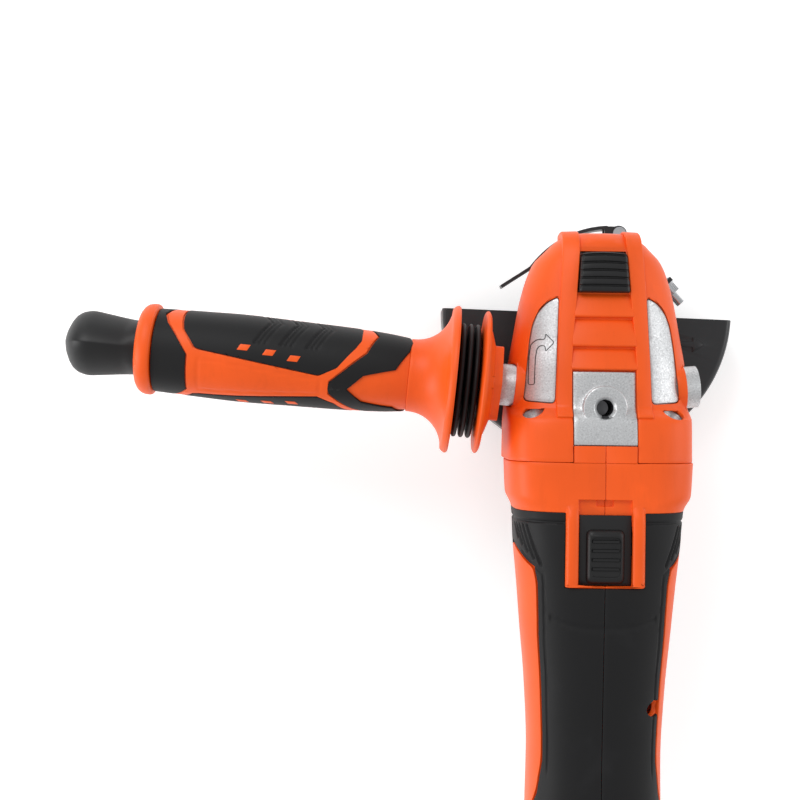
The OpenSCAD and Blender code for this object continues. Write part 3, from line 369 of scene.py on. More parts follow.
def wrapped(name, outline, place_point, bottom, top, cuts, relief=None):
    """Panel with a flat outline (u, v) laid on a curved surface.

    place_point(u, v, height) gives the point, cuts are the values of u and of v to divide it at,
    and relief(u, v) changes the height of its outer face.
    """
    bm = bmesh.new()
    bm.faces.new([bm.verts.new((p[0], p[1], 0)) for p in outline])
    for axis, values in enumerate(cuts):
        normal = (1, 0, 0) if axis == 0 else (0, 1, 0)
        for value in values:
            at = (value, 0, 0) if axis == 0 else (0, value, 0)
            geometry = bm.verts[:] + bm.edges[:] + bm.faces[:]
            bmesh.ops.bisect_plane(bm, geom=geometry, plane_co=at, plane_no=normal, dist=1e-5)
    flat = [(v.co.x, v.co.y) for v in bm.verts]
    bm.verts.index_update()
    faces = [[v.index for v in f.verts] for f in bm.faces]
    edges = {}
    for face in faces:
        for a, b in zip(face, face[1:] + face[:1]):
            edges[(a, b)] = True
    bm.free()
    solid = bmesh.new()
    upper = [solid.verts.new(place_point(u, v, top + (relief(u, v) if relief else 0))) for u, v in flat]
    lower = [solid.verts.new(place_point(u, v, bottom)) for u, v in flat]
    for face in faces:
        solid.faces.new([upper[i] for i in face])
        solid.faces.new([lower[i] for i in reversed(face)])
    for a, b in edges:
        if (b, a) not in edges:
            solid.faces.new((upper[b], upper[a], lower[a], lower[b]))
    return new_object(name, solid)


def near_line(u, v, a, b, scale_v=1.0):
    """Distance from a point to a segment, v being scaled to the length of u."""
    p = Vector((u, v * scale_v))
    a = Vector((a[0], a[1] * scale_v))
    b = Vector((b[0], b[1] * scale_v))
    along = (b - a)
    t = max(0, min(1, (p - a).dot(along) / along.length_squared))
    return (p - a - along * t).length


def groove(distance, width, depth):
    """Depth of a rounded groove at a distance from its middle."""
    return -depth * max(0.0, 1 - (distance / width) ** 2) if distance < width else 0.0


# ---------- materials ----------

class Nodes:
    """Short way to write a material's nodes."""

    def __init__(self, name):
        self.material = bpy.data.materials.new(name)
        self.material.use_nodes = True
        self.tree = self.material.node_tree
        self.shader = self.tree.nodes["Principled BSDF"]
        self.where = self.add("ShaderNodeTexCoord").outputs["Object"]

    def add(self, kind, **values):
        node = self.tree.nodes.new(kind)
        for key, value in values.items():
            if hasattr(node, key):
                setattr(node, key, value)
            else:
                node.inputs[key.replace("_", " ")].default_value = value
        return node

    def link(self, a, b):
        self.tree.links.new(a, b)

    def set(self, **values):
        for key, value in values.items():
            self.shader.inputs[key.replace("_", " ")].default_value = value

    def noise(self, scale, detail=3.0, roughness=0.5, stretch=None):
        node = self.add("ShaderNodeTexNoise", Scale=scale, Detail=detail, Roughness=roughness)
        where = self.where
        if stretch:
            mapping = self.add("ShaderNodeMapping", Scale=stretch)
            self.link(where, mapping.inputs["Vector"])
            where = mapping.outputs["Vector"]
        self.link(where, node.inputs["Vector"])
        return node.outputs["Fac"]

    def ramp(self, value, stops):
        node = self.add("ShaderNodeValToRGB")
        elements = node.color_ramp.elements
        while len(elements) < len(stops):
            elements.new(0.5)
        for element, (position, color) in zip(elements, stops):
            element.position = position
            element.color = tuple(color) + (1,) if len(color) == 3 else color
        self.link(value, node.inputs["Fac"])
        return node.outputs["Color"]

    def span(self, value, to_low, to_high, from_low=0.3, from_high=0.7):
        """The value, moved from one range to another."""
        node = self.add("ShaderNodeMapRange", From_Min=from_low, From_Max=from_high,
                        To_Min=to_low, To_Max=to_high)
        self.link(value, node.inputs["Value"])
        return node.outputs["Result"]

    def bump(self, value, strength, distance, under=None):
        node = self.add("ShaderNodeBump", Strength=strength, Distance=distance)
        self.link(value, node.inputs["Height"])
        if under:
            self.link(under, node.inputs["Normal"])
        return node.outputs["Normal"]

    def mix(self, kind, amount, first, second):
        node = self.add("ShaderNodeMixRGB", blend_type=kind, Fac=amount)
        self.link(first, node.inputs["Color1"])
        self.link(second, node.inputs["Color2"])
        return node.outputs["Color"]

    def surface(self, color=None, rough=None, normal=None):
        for value, name in ((color, "Base Color"), (rough, "Roughness"), (normal, "Normal")):
            if value:
                self.link(value, self.shader.inputs[name])
        return self.material


def tint(color, factor):
    return tuple(min(1, c * factor) for c in color)


def moulded(name, color, rough, grain=2600, depth=0.00002, specular=0.5, worn=1.25):
    """Moulded plastic or rubber with a spark-eroded grain and slightly worn high spots."""
    m = Nodes(name)
    m.set(Specular_IOR_Level=specular)
    cloud = m.noise(38, 4)
    handled = m.noise(9, 3)
    fine = m.noise(grain, 2)
    scuffs = m.noise(260, 5, 0.7, (1, 0.12, 1))
    base = m.ramp(cloud, [(0.3, tint(color, 0.93)), (0.62, color), (0.78, tint(color, worn))])
    base = m.mix("MULTIPLY", 0.35, base, m.ramp(scuffs, [(0.36, (0.9, 0.9, 0.9)), (0.5, (1, 1, 1))]))
    normal = m.bump(fine, 0.35, depth)
    normal = m.bump(cloud, 0.08, 0.0002, normal)
    return m.surface(base, m.span(handled, rough - 0.06, rough + 0.08), normal)


def cast_metal(name, color, rough, speck=1350, coarse=160, depth=0.00005):
    """Shot-blasted casting with bright and dark specks."""
    m = Nodes(name)
    m.set(Metallic=0.75)
    specks = m.noise(speck, 3, 0.65)
    cloud = m.noise(coarse, 3)
    base = m.ramp(specks, [(0.3, tint(color, 0.66)), (0.44, tint(color, 0.92)), (0.58, color),
                           (0.7, tint(color, 1.28))])
    normal = m.bump(specks, 0.5, depth)
    normal = m.bump(cloud, 0.12, 0.0001, normal)
    return m.surface(base, m.span(specks, rough + 0.12, rough - 0.08), normal)


def machined(name, color, rough, lines=(1, 1, 40), scale=220, depth=0.00001):
    """Turned or ground metal with fine tool lines."""
    m = Nodes(name)
    m.set(Metallic=1.0)
    tool = m.noise(scale, 4, 0.6, lines)
    stain = m.noise(60, 4)
    base = m.ramp(stain, [(0.32, tint(color, 0.78)), (0.6, color), (0.8, tint(color, 1.12))])
    return m.surface(base, m.span(tool, rough - 0.06, rough + 0.1), m.bump(tool, 0.3, depth))


def coated(name, color, rough):
    """Powder coat with orange peel and a few rubbed spots."""
    m = Nodes(name)
    m.set(Metallic=0.15, Coat_Weight=0.15, Coat_Roughness=0.35)
    peel = m.noise(850, 2)
    cloud = m.noise(45, 4)
    scratch = m.noise(330, 6, 0.75, (1, 0.08, 1))
    base = m.ramp(cloud, [(0.3, tint(color, 0.8)), (0.6, color), (0.8, tint(color, 1.5))])
    base = m.mix("ADD", 1.0, base, m.ramp(scratch, [(0.66, (0, 0, 0)), (0.74, (0.035, 0.035, 0.038))]))
    return m.surface(base, m.span(cloud, rough - 0.05, rough + 0.1), m.bump(peel, 0.25, 0.00004))


def layered(name, color, dark, rough, metallic, pitch=1300):
    """Stacked sheets or wound wire: bands along the motor's axis."""
    m = Nodes(name)
    m.set(Metallic=metallic)
    wave = m.add("ShaderNodeTexWave", bands_direction="Y", Scale=pitch, Distortion=0.6)
    m.link(m.where, wave.inputs["Vector"])
    bands = wave.outputs["Fac"]
    base = m.ramp(bands, [(0.15, dark), (0.6, color)])
    return m.surface(base, m.span(m.noise(70), rough - 0.05, rough + 0.1), m.bump(bands, 0.6, 0.0001))


ORANGE = (0.9, 0.104, 0.007)
MATERIALS = {
    "orange_plastic": moulded("orange plastic", ORANGE, 0.44, specular=0.32, worn=1.12),
    "black_plastic": moulded("black plastic", (0.0085, 0.0085, 0.0092), 0.42, 2200, 0.00003, 0.36, 1.5),
    "soft_rubber": moulded("soft rubber", (0.007, 0.007, 0.0077), 0.55, 1900, 0.00004, 0.27, 1.6),
    "cast_aluminium": cast_metal("cast aluminium", (0.60, 0.61, 0.62), 0.42),
    "black_steel": coated("black powder coat", (0.014, 0.014, 0.016), 0.36),
    "bright_steel": machined("bright steel", (0.60, 0.61, 0.63), 0.24),
    "dark_steel": machined("gear steel", (0.2, 0.2, 0.21), 0.34),
    "lamination_steel": layered("laminations", (0.33, 0.33, 0.34), (0.1, 0.1, 0.11), 0.4, 0.9),
    "copper": layered("enamelled copper", (0.62, 0.2, 0.07), (0.24, 0.06, 0.02), 0.32, 0.85, 900),
    "brass": machined("stamped brass", (0.72, 0.5, 0.2), 0.3),
    "carbon": moulded("pressed carbon", (0.03, 0.03, 0.032), 0.6, 1500, 0.00006),
    "capacitor_case": moulded("capacitor case", (0.7, 0.42, 0.06), 0.25),
}


def dress(obj, slot):
    obj.data.materials.clear()
    obj.data.materials.append(MATERIALS[slot])
    return obj


def place(obj, body, slot, *nodes):
    """Gives a finished piece its material and body, and the CAD nodes that it stands for."""
    dress(obj, slot)
    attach(obj, body)
    if nodes:
        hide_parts(*nodes)
    return obj


for part in frame["record"]["subparts"]:
    node_object = frame["nodes"][part["node"]]
    for index in range(len(node_object.material_slots)):
        node_object.material_slots[index].material = MATERIALS[part["material_slot"]]


# ---------- head ----------

RAIL_INNER = [(32, 10.0), (22, 10.4), (5, 11.6), (-30, 13.95), (-52, 13.95)]
RAIL_OUTER = [(32, 17.3), (26.8, 17.6), (-46, 20.8), (-52, 20.9)]
NOSE = [(31.2, 47.4), (31.7, 50), (31.95, 54), (31.9, 58), (31.3, 61.6), (30.0, 64.8), (28, 67.2),
        (24.5, 69.5)]
CHANNEL_DROP = 1.6
CHANNEL_RISE = 2.2
PANEL_Y = (4.4, -6.8, -19.7, -29.9)
WINDOW = [(19.2, 3.0), (24.5, 0.4), (28.4, -4.2), (30.6, -10), (31.8, -17), (34.4, -43.5), (21, -44.5)]
BLOCK_HALF = 13.6
BLOCK_Y = (-30.4, -62)
BUTTON_Y = (4.9, 22.9)
TONGUE_Y = -62.4


def along_rail(line, y):
    """Half width of a rail line at y."""
    return curve([(p[0], p[1]) for p in line], y)[0]


def both_sides(build):
    return [build(1), build(-1)]


def window_tool(side, grow):
    outline = [(p[0] * side, p[1]) for p in WINDOW]
    middle = Vector((27 * side, -25))
    grown = [Vector(p) + (Vector(p) - middle).normalized() * grow for p in outline]
    return prism("window", rounded(grown, 2.2), 52, 95)


def to_rear(x, z):
    """Frame whose Z runs to the rear."""
    return Matrix.Translation((x, 0, z)) @ Matrix.Rotation(math.pi / 2, 4, "X")


def handle_rod(side, start, end, radius, steps=64):
    return turned("boss", [(0, start), (radius, start), (radius, end), (0, end)], on_handle(side), steps)


def nose_path():
    """Middle line of the head from the bottom of its nose over the top to the block, as (y, z)."""
    return NOSE + [(y, head_height(0, y)) for y in spread(21, -50.5, 2.2)]


def rail_point(path, s, x, lift):
    """Point over the head at a position s along the path, counted in its points."""
    k = min(int(s), len(path) - 2)
    t = s - k
    y = path[k][0] * (1 - t) + path[k + 1][0] * t
    z = path[k][1] * (1 - t) + path[k + 1][1] * t
    before, after = path[max(0, k - 1)], path[min(len(path) - 1, k + 2)]
    normal = Vector((before[1] - after[1], after[0] - before[0])).normalized() * -1
    level = min(y, 19.6)
    drop = head_height(0, level) - head_height(x, level)
    return (x, y + normal.x * lift, z - drop + normal.y * lift)


def rail_solid(side):
    """Raised rail that runs over the nose and beside the lock button."""
    path = nose_path()
    last = len(path) - 1
    marks = spread(0, last, 1)
    ys = [path[int(m)][0] for m in marks]
    inner = [(m, side * along_rail(RAIL_INNER, y)) for m, y in zip(marks, ys)]
    outer = [(m, side * along_rail(RAIL_OUTER, y)) for m, y in zip(marks, ys)]
    rail = wrapped("rail", inner + outer[::-1], lambda s, x, h: rail_point(path, s, x, h), -2.2, 1.3,
                   (spread(0.5, last - 0.5, 0.5), []))
    return soften(rail, 0.6, 50, 3)


def channel_solid():
    """Room between the rails, down to the sunk channel."""
    rings = []
    for y in spread(29.0, 23, 1) + spread(21, -52, 3):
        half = along_rail(RAIL_INNER, y) + 0.2
        depth = CHANNEL_DROP - CHANNEL_RISE * max(0.0, min(1.0, (y - 23.5) / 5))
        floor = head_height(0, y) - depth
        roof = floor + 20
        rings.append([(-half, y, floor), (half, y, floor), (half, y, roof), (-half, y, roof)])
    return loft("channel", rings)


def step_solid(index):
    """One of the three steps behind the lock button: a bevelled front lip, and its rear edge raised."""
    front, rear = PANEL_Y[index] - 0.15, PANEL_Y[index + 1] + 0.2
    low_z, high_z = head_height(0, front) - 0.9, head_height(0, rear) + 0.75
    top = (low_z + high_z) / 2
    outline = [(front, low_z - 3), (front, low_z - 0.9), (front - 2.4, low_z + 0.55),
               (front - 6, top + 0.1), (rear + 0.9, high_z), (rear + 0.2, high_z - 0.5),
               (rear, high_z - 3.5)]
    rings = []
    for side in (-1, 1):
        rings.append([(side * (along_rail(RAIL_INNER, p[0]) + 0.4), p[0], p[1]) for p in outline])
    return soften(loft("step", rings), 0.3, 25)


def button_way(name, grow, low_z):
    """Room for the lock button, wider at its rear end."""
    rear, front = 11.3 + grow, 10.1 + grow
    plan = [(-rear, BUTTON_Y[0]), (rear, BUTTON_Y[0]), (front, BUTTON_Y[1]), (-front, BUTTON_Y[1])]
    return prism(name, plan, low_z, 95)


def make_head_cover():
    shell = head_loft("shell", 0)
    combine(shell, [handle_rod(side, -12, -6.2, 11.0) for side in (-1, 1)], "UNION")
    cuts = [channel_solid(), head_loft("inside", COVER_WALL, 20, 3)]
    cuts += both_sides(lambda side: window_tool(side, 0))
    for x in (-1, 1):
        for z in CASE_SCREW_Z:
            cuts.append(rod("recess", (x * CASE_SCREW_X, -57, z), (x * CASE_SCREW_X, -46.9, z), 4.6))
    block_half = BLOCK_HALF + 0.3
    cuts.append(button_way("button_way", 0.25, 60))
    cuts.append(box("block_way", (-block_half, -30.1, 60), (block_half, JOINT_Y - 1, 95)))
    cuts += [handle_rod(side, -14, 6, 9.7) for side in (-1, 1)]
    combine(shell, cuts)
    soften(shell, 0.45)
    cover = joined("head_shell", [shell] + both_sides(rail_solid) + [step_solid(i) for i in range(3)])
    smooth(cover, 35)
    place(cover, "housing", "orange_plastic", "head_cover")


def bell_ring(y, inset):
    """Section of the casting behind the gears: the head's outline above, a rounded box below."""
    arch = head_ring(y, inset)[1:-1]
    half, shoulder = arch[0][0], arch[0][2]
    deep = shoulder - MOTOR_Z + 25.4
    steps, flat = 24, 0.6
    lower = []
    for i in range(1, steps):
        t = math.pi + math.pi * i / steps
        lower.append((half * power(math.cos(t), flat), y, shoulder + deep * power(math.sin(t), flat)))
    return arch + lower


def gear_casting():
    """Casting with its window pads, block, bell and handle bosses, before anything is cut."""
    case = head_loft("gear_casting", COVER_WALL + 0.4, 42, 3)
    pads = head_loft("pads", 0.5, 42)
    combine(pads, [joined("windows", both_sides(lambda s: window_tool(s, -0.45)))], "INTERSECT")
    top = head_loft("top_block", -0.1, 42)
    rear, front = BLOCK_Y
    plan = [(-BLOCK_HALF, rear), (BLOCK_HALF, rear), (BLOCK_HALF, front), (-BLOCK_HALF, front)]
    combine(top, [prism("plan", plan, 60, 95)], "INTERSECT")
    bell = loft("bell", [bell_ring(y, 2.9) for y in spread(-50, JOINT_Y + 0.02, 2)])
    ring = turned("ring", [(0, 70), (9.6, 70), (9.6, HOLE_TOP - 0.4), (9.2, HOLE_TOP), (0, HOLE_TOP)],
                  Matrix.Translation((0, HOLE_Y, 0)))
    for part in [pads, bell, top, ring] + [handle_rod(side, -16, 0, 9.3) for side in (-1, 1)]:
        combine(case, [part], "UNION")
    return case


def gear_room():
    """Tools for the crown gear's chamber, the lock pin and button, and the pinion's bearing."""
    chamber = [(0, 41), (26.4, 41), (26.4, 54.5), (5.6, 54.5), (5.6, 56), (6.5, 56), (6.5, 63.4),
               (5.2, 63.4), (5.2, 64.1), (0, 64.1)]
    pin_way = [(0, 53), (2.68, 53), (2.68, 59.5), (5.2, 59.5), (5.2, 72), (0, 72)]
    bore = [(0, 8), (9.6, 8), (9.6, 28), (15, 28), (15, 37), (16.5, 37), (16.5, 39), (9, 39), (9, 54),
            (23.6, 54), (23.6, 1 - JOINT_Y), (0, 1 - JOINT_Y)]
    tongue_half = BLOCK_HALF + 0.3
    return [turned("chamber", chamber),
            turned("pin_way", pin_way, Matrix.Translation((0, LOCK_R, 0))),
            button_way("button_room", 0.1, 63.8),
            turned("bore", bore, to_rear(0, MOTOR_Z)),
            box("tongue", (-tongue_half, JOINT_Y - 1, 80.7), (tongue_half, TONGUE_Y + 0.3, 95))]


def make_gear_case():
    case = gear_casting()
    cuts = gear_room()
    screw_hole = [(0, 44.6), (4.4, 44.6), (4.4, 55.2), (2.1, 55.2), (2.1, 1 - JOINT_Y), (0, 1 - JOINT_Y)]
    for x in (-1, 1):
        for z in CASE_SCREW_Z:
            cuts.append(turned("screw_hole", screw_hole, to_rear(x * CASE_SCREW_X, z), 32))
    for side in (-1, 1):
        for i in range(3):
            x = side * (6 + 6.5 * i)
            cuts.append(box("slot", (x - 1.7, -65.5, MOTOR_Z - 40), (x + 1.7, -56.5, MOTOR_Z - 16)))
        cuts.append(threaded_hole(HOLE_R, 17.5, on_handle(side)))
    top_mouth = Matrix.Translation((0, HOLE_Y, HOLE_TOP))
    cuts.append(threaded_hole(HOLE_R, 14.4, top_mouth))
    for cut in cuts:
        combine(case, [cut])
    soften(case, 0.3)
    place(case, "housing", "cast_aluminium", "gear_case")
    # painted shade: the inside faces of the threaded holes get the dark steel
    paint_shade_in_holes(case, [top_mouth, on_handle(1), on_handle(-1)])


def threaded_hole(radius, depth, frame_matrix, pitch=1.25, height=0.55):
    """Tool that cuts a hole with thread grooves from z = 0 down, with a chamfer at its mouth."""
    crest, mouth = radius - height, radius + 0.95
    profile = [(0, -depth), (crest, -depth)]
    z = -depth
    while z < -1.9 - pitch:
        profile += [(crest, z + 0.1), (radius, z + pitch * 0.45), (crest, z + pitch * 0.8)]
        z += pitch
    profile += [(crest, -1.6), (mouth, 0.07), (mouth, 2), (0, 2)]
    return turned("thread", profile, frame_matrix, 64)


def paint_shade_in_holes(obj, mouths):
    """Paints shade into the round threaded holes: their inside faces get the darker gear steel, which stands
    for the shade down the holes as well as for oiled threads.
    """
    obj.data.materials.append(MATERIALS["dark_steel"])
    for face in obj.data.polygons:
        for mouth in mouths:
            local = mouth.inverted() @ (face.center / MM)
            # faces down inside a hole take the dark steel, as painted shade
            if math.hypot(local.x, local.y) < HOLE_R + 0.2 and -18 < local.z < -0.7:
                face.material_index = 1


def make_arrow_groove_shade():
    """Painted shade of the thin sunk outline of a bent arrow on the left pad: a thin black strip laid along
    the groove.
    """
    shaft = [(-32.4, -36.2), (-32.0, -24), (-31.2, -18.4), (-28.6, -16.2), (-25.2, -16.2), (-25.2, -13.6),
             (-21.4, -17.6), (-25.2, -21.6), (-25.2, -19.0), (-27.4, -19.0), (-28.6, -20.2), (-29.4, -24.6),
             (-29.8, -36.2)]
    path = rounded(shaft, 1.0, 3)
    bm = bmesh.new()
    width, height = 0.16, 0.12
    rings = []
    count = len(path)
    for i, p in enumerate(path):
        ahead = Vector(path[(i + 1) % count]) - Vector(path[i - 1])
        side = Vector((-ahead.y, ahead.x)).normalized() * width
        ring = []
        for offset, lift in ((-1, -0.3), (-1, height), (1, height), (1, -0.3)):
            x, y = p[0] + side.x * offset, p[1] + side.y * offset
            ring.append(bm.verts.new((x, y, head_height(x, y, 0.5) + lift)))
        rings.append(ring)
    for i in range(count):
        a, b = rings[i], rings[(i + 1) % count]
        for k in range(4):
            bm.faces.new((a[k], a[(k + 1) % 4], b[(k + 1) % 4], b[k]))
    arrow = new_object("arrow_groove_shade", bm)
    smooth(arrow)
    # black plastic on the silver pad: painted shade of the sunk groove
    place(arrow, "housing", "black_plastic")


def make_lock_button():
    """Black key with five ribs that falls towards the nose and narrows with the rails."""
    front, rear = BUTTON_Y[1] - 0.35, BUTTON_Y[0] + 0.35
    outline = [(rear, 68.6), (rear, 75.3), (rear + 0.5, 75.9)]
    for i in range(5):
        y = rear + 2.2 + 3.3 * i
        z = 76.0 - 0.42 * i
        outline += [(y, z), (y + 0.35, z - 0.8), (y + 0.8, z - 0.8), (y + 1.15, z - 0.05)]
    outline += [(front - 1.2, 73.6), (front - 0.2, 72.4), (front, 70.8), (front, 68.6)]
    rings = []
    for share in (-1, -0.97, -0.9, -0.5, 0, 0.5, 0.9, 0.97, 1):
        ring = []
        for y, z in outline:
            along = (y - rear) / (front - rear)
            half = 11.1 - 1.2 * along
            edge = max(0, (abs(share) - 0.9) / 0.1)
            drop = 0.9 * edge ** 1.5 + 0.35 * share * share if z > 69 else 0
            bow = 0.7 * (1 - share * share) * along
            ring.append((share * half, y + bow - 0.7, z - drop))
        rings.append(ring)
    button = loft("lock_key", rings)
    combine(button, [rod("pin_seat", (0, LOCK_R, 60), (0, LOCK_R, 71.6), 2.6)])
    soften(button, 0.16, 28)
    place(button, "spindle_lock", "black_plastic", "lock_button")


# ---------- motor housing ----------

# Side stripe as (y, degrees up from the side)
STRIPE = [(-106.5, -2), (-109.5, 14), (-116, 38), (-122, 40), (-145, 37), (-200, 35), (-214, 28),
          (-226, 12), (-226, -6), (-214, -13), (-140, -14), (-112, -10)]
FRAME_HALF = 17.0
FRAME_Y = (-122.8, -85.5)
SLIDER_HALF = 11.2


def mirrored(points, side):
    return [(p[0] * side,) + tuple(p[1:]) for p in points]


def shell_inset(y):
    """How far the shell lies under the outer skin at y: sunk where the soft grip covers it."""
    return SKIN + 0.05 if GRIP_REAR < y < GRIP_FRONT else 0.0


def half_solid(name, side, inset, ys):
    """Half of the housing's solid on one side of the middle plane, as a loft."""
    rings = []
    for y in ys:
        ring = [body_point(y, t, inset(y)) for t in spread(-90, 90, 3)]
        rings.append([(side * max(p[0], SEAM), p[1], p[2]) for p in ring])
    return loft(name, rings)


def half_box(name, side, half, y, z):
    """Box from the seam to a half width, on one side of the middle plane."""
    near, far = (SEAM, half) if side > 0 else (-half, -SEAM)
    return box(name, (near, y[0], z[0]), (far, y[1], z[1]))


def on_side(side):
    """Point of the housing's skin on one side, by y, degrees and height over the skin."""
    return lambda y, t, height: mirrored([body_point(y, t, -height)], side)[0]


def vent_tools(side):
    """Five air slots near the rear end."""
    near, far = sorted((side * 20, side * 50))
    tools = []
    for i in range(5):
        y = -186 - 6 * i
        tools.append(box("vent", (near, y - 3, MOTOR_Z - 16), (far, y, MOTOR_Z - 10)))
    return tools


def slider_frame(side):
    """Raised rail of the switch frame on one side."""
    rings = []
    front = FRAME_Y[1] + 2.5
    near = SLIDER_HALF + 0.35
    for y in spread(front, FRAME_Y[0], 2.4):
        lift = min(1.0, (front - y) / 11)
        top = 83.6 + 4.1 * (lift * lift * (3 - 2 * lift)) - (0.5 if y < FRAME_Y[0] + 0.1 else 0)
        ring = [(near, 80), (FRAME_HALF - 0.2, 78), (FRAME_HALF, top - 1.8), (FRAME_HALF - 0.8, top - 0.4),
                (FRAME_HALF - 2.0, top), (SLIDER_HALF + 1.4, top), (near, top - 0.8)]
        rings.append([(side * p[0], y, p[1]) for p in ring])
    return loft("frame_rail", rings)


def shell_stations():
    """Stations of the outer shell, close together where its skin steps down under the soft grip."""
    step = 0.05
    ys = spread(JOINT_Y - 0.15, -84, 2) + spread(-85, GRIP_FRONT + step, 1)
    ys += spread(GRIP_FRONT - step, GRIP_REAR + step, 4) + spread(GRIP_REAR - step, REAR_Y, 1.4)
    return ys


def shell_room(side):
    """Inside of a shell, with the wall that holds the rear bearing and the floor of the switch."""
    ys = [JOINT_Y + 2] + spread(JOINT_Y, REAR_Y + SHELL_WALL, 5)
    inner = half_solid("inside", side, lambda y: SHELL_WALL, ys)
    return combine(inner, [box("cross_wall", (-40, -170.2, 0), (40, -161, 120)),
                           box("floor", (-19, -126, 81.4), (19, -82, 90))])


def switch_ways(side):
    """Tools for the slider's slot, the pocket before it, its notch, and the way of its leg and rod."""
    slot_half = SLIDER_HALF + 0.3
    near, far = (-1, slot_half) if side > 0 else (-slot_half, 1)
    pocket = SLOT[1] + 6.2
    tools = [box("slot", (near, SLOT[0] - 0.2, SLOT_FLOOR), (far, SLOT[1], 120)),
             box("pocket", (near, SLOT[1] - 1, SLOT_FLOOR), (far, pocket, 90)),
             box("notch", (-3.7, -88.2, SLOT_FLOOR - 1), (3.7, pocket - 0.01, 90))]
    if side > 0:
        tools.append(box("leg_way", (SLIDER_HALF, -109.2, 70), (17, -96.7, SLIDER_TOP - 0.05)))
        tools.append(rod("rod_way", (18.5, -150, 77.9), (18.5, -98, 77.9), 1.6))
    return tools


def shell_screw_tools(side):
    """Screw ways: threaded on the left, and on the right a recess that the grip hides for the first."""
    tools = []
    for index, (y, z) in enumerate(SHELL_SCREWS):
        z += MOTOR_Z
        if side < 0:
            tools.append(rod("screw", (1, y, z), (-12, y, z), 1.75))
        else:
            tools.append(rod("screw", (0, y, z), (60 if index else 15, y, z), SCREW_HEAD_R))
    return tools


def make_housing(side):
    name = "right" if side > 0 else "left"
    shell = half_solid("shell_" + name, side, shell_inset, shell_stations())
    inner = shell_room(side)
    ribs = [slider_frame(side),
            half_box("tongue", side, BLOCK_HALF, (JOINT_Y - 3, TONGUE_Y), (80.8, 84.2)),
            half_box("frame_end", side, FRAME_HALF - 1, (FRAME_Y[0], FRAME_Y[0] + 1.0), (80, 87.4))]
    combine(shell, ribs, "UNION")
    cuts = [inner] + switch_ways(side)
    cuts.append(rod("stator_seat", (0, -126, MOTOR_Z), (0, -84, MOTOR_Z), 26.02))
    cuts.append(rod("bearing", (0, -172, MOTOR_Z), (0, -160, MOTOR_Z), 12.6))
    cuts.append(rod("inlet", (0, REAR_Y - 1, MOTOR_Z), (0, REAR_Y + 13, MOTOR_Z), 8))
    combine(shell, cuts + shell_screw_tools(side) + vent_tools(side))
    soften(shell, 0.35)
    stripe = wrapped("stripe", rounded(STRIPE, 5, 4), on_side(side), -SKIN - 0.4, 0.0,
                     (spread(-108, -226, 3), spread(-12, 40, 3)))
    soften(stripe, 0.3)
    whole = joined("housing_shell_" + name, [shell, stripe])
    smooth(whole)
    place(whole, "housing", "orange_plastic", "housing_" + name)


def grip_relief(y, t):
    """Grooves of the soft grip: a ring behind its front edge, shoulder slashes, and fine lines."""
    depth = groove(abs(y - (GRIP_FRONT - 4.2)), 0.8, 0.55)
    for i in range(5):
        start = (GRIP_FRONT - 6.5, 8 + 6.5 * i)
        end = (GRIP_FRONT - 12.0 - 2.7 * i, 17 + 7.6 * i)
        depth = min(depth, groove(near_line(y, t, start, end, 0.55), 0.95, 0.85))
    for a, b in (((-109, 24), (-118, 49)), ((-118, 49), (-146, 46)), ((-146, 46), (-205, 44))):
        depth = min(depth, groove(near_line(y, t, a, b, 0.55), 0.8, 0.45))
    depth = min(depth, groove((90 - abs(t)) * 0.55, 0.6, 0.35))
    if t > 52:
        arc = abs(y + 136 + 4.5 * math.cos(math.radians((90 - t) * 2.2)))
        depth = min(depth, groove(arc, 1.5, 0.45))
    return depth


def turn_at(y, x, sign=1):
    """Degrees round the housing's skin where it lies at half width x."""
    a, _, _, n = curve(BODY, y)
    return sign * math.degrees(math.acos((x / a) ** (n / 2)))


def grip_outline():
    """Parts of the soft grip in (y, t) round the stripe; the upper one leaves the switch frame open."""
    stripe = [(-105.6, -0.5), (-108.6, 15.5), (-115.2, 39.8), (-122, 42), (-145, 39), (-200, 37),
              (-215, 29.5), (-227.4, 13)]
    seam = 0.05
    rear = FRAME_Y[0] - 0.4
    upper = [(GRIP_FRONT, -0.5)] + stripe + [(-227.4, 3), (GRIP_REAR, 3)]
    upper += [(y, turn_at(y, seam)) for y in spread(GRIP_REAR, rear, 6)]
    upper += [(y, turn_at(y, FRAME_HALF + 0.12)) for y in spread(rear, GRIP_FRONT, 4)]
    lower_stripe = [(-227.4, -7), (-214, -15), (-140, -16), (-111, -11.6), (-105.6, -0.9)]
    lower = [(y, turn_at(y, seam, -1)) for y in spread(GRIP_FRONT, GRIP_REAR, 6)]
    lower += [(GRIP_REAR, 2.6), (-227.4, 2.6)] + lower_stripe + [(GRIP_FRONT, -0.9)]
    return upper, lower


def make_grip(side):
    name = "right" if side > 0 else "left"
    ys = spread(GRIP_FRONT, -118, 0.5) + spread(-119, -142, 1) + spread(-144, GRIP_REAR, 2.5)
    divisions = (ys, spread(-89, 89, 1))
    halves = [wrapped("skin", outline, on_side(side), -SKIN, 0.0, divisions, grip_relief)
              for outline in grip_outline()]
    skin = joined("soft_grip_" + name, halves)
    cuts = []
    if side > 0:
        for y, z in SHELL_SCREWS[1:]:
            cuts.append(rod("screw", (5, y, MOTOR_Z + z), (60, y, MOTOR_Z + z), SCREW_HEAD_R))
    combine(skin, cuts + vent_tools(side))
    soften(skin, 0.3, 45)
    place(skin, "housing", "soft_rubber", "grip_" + name)


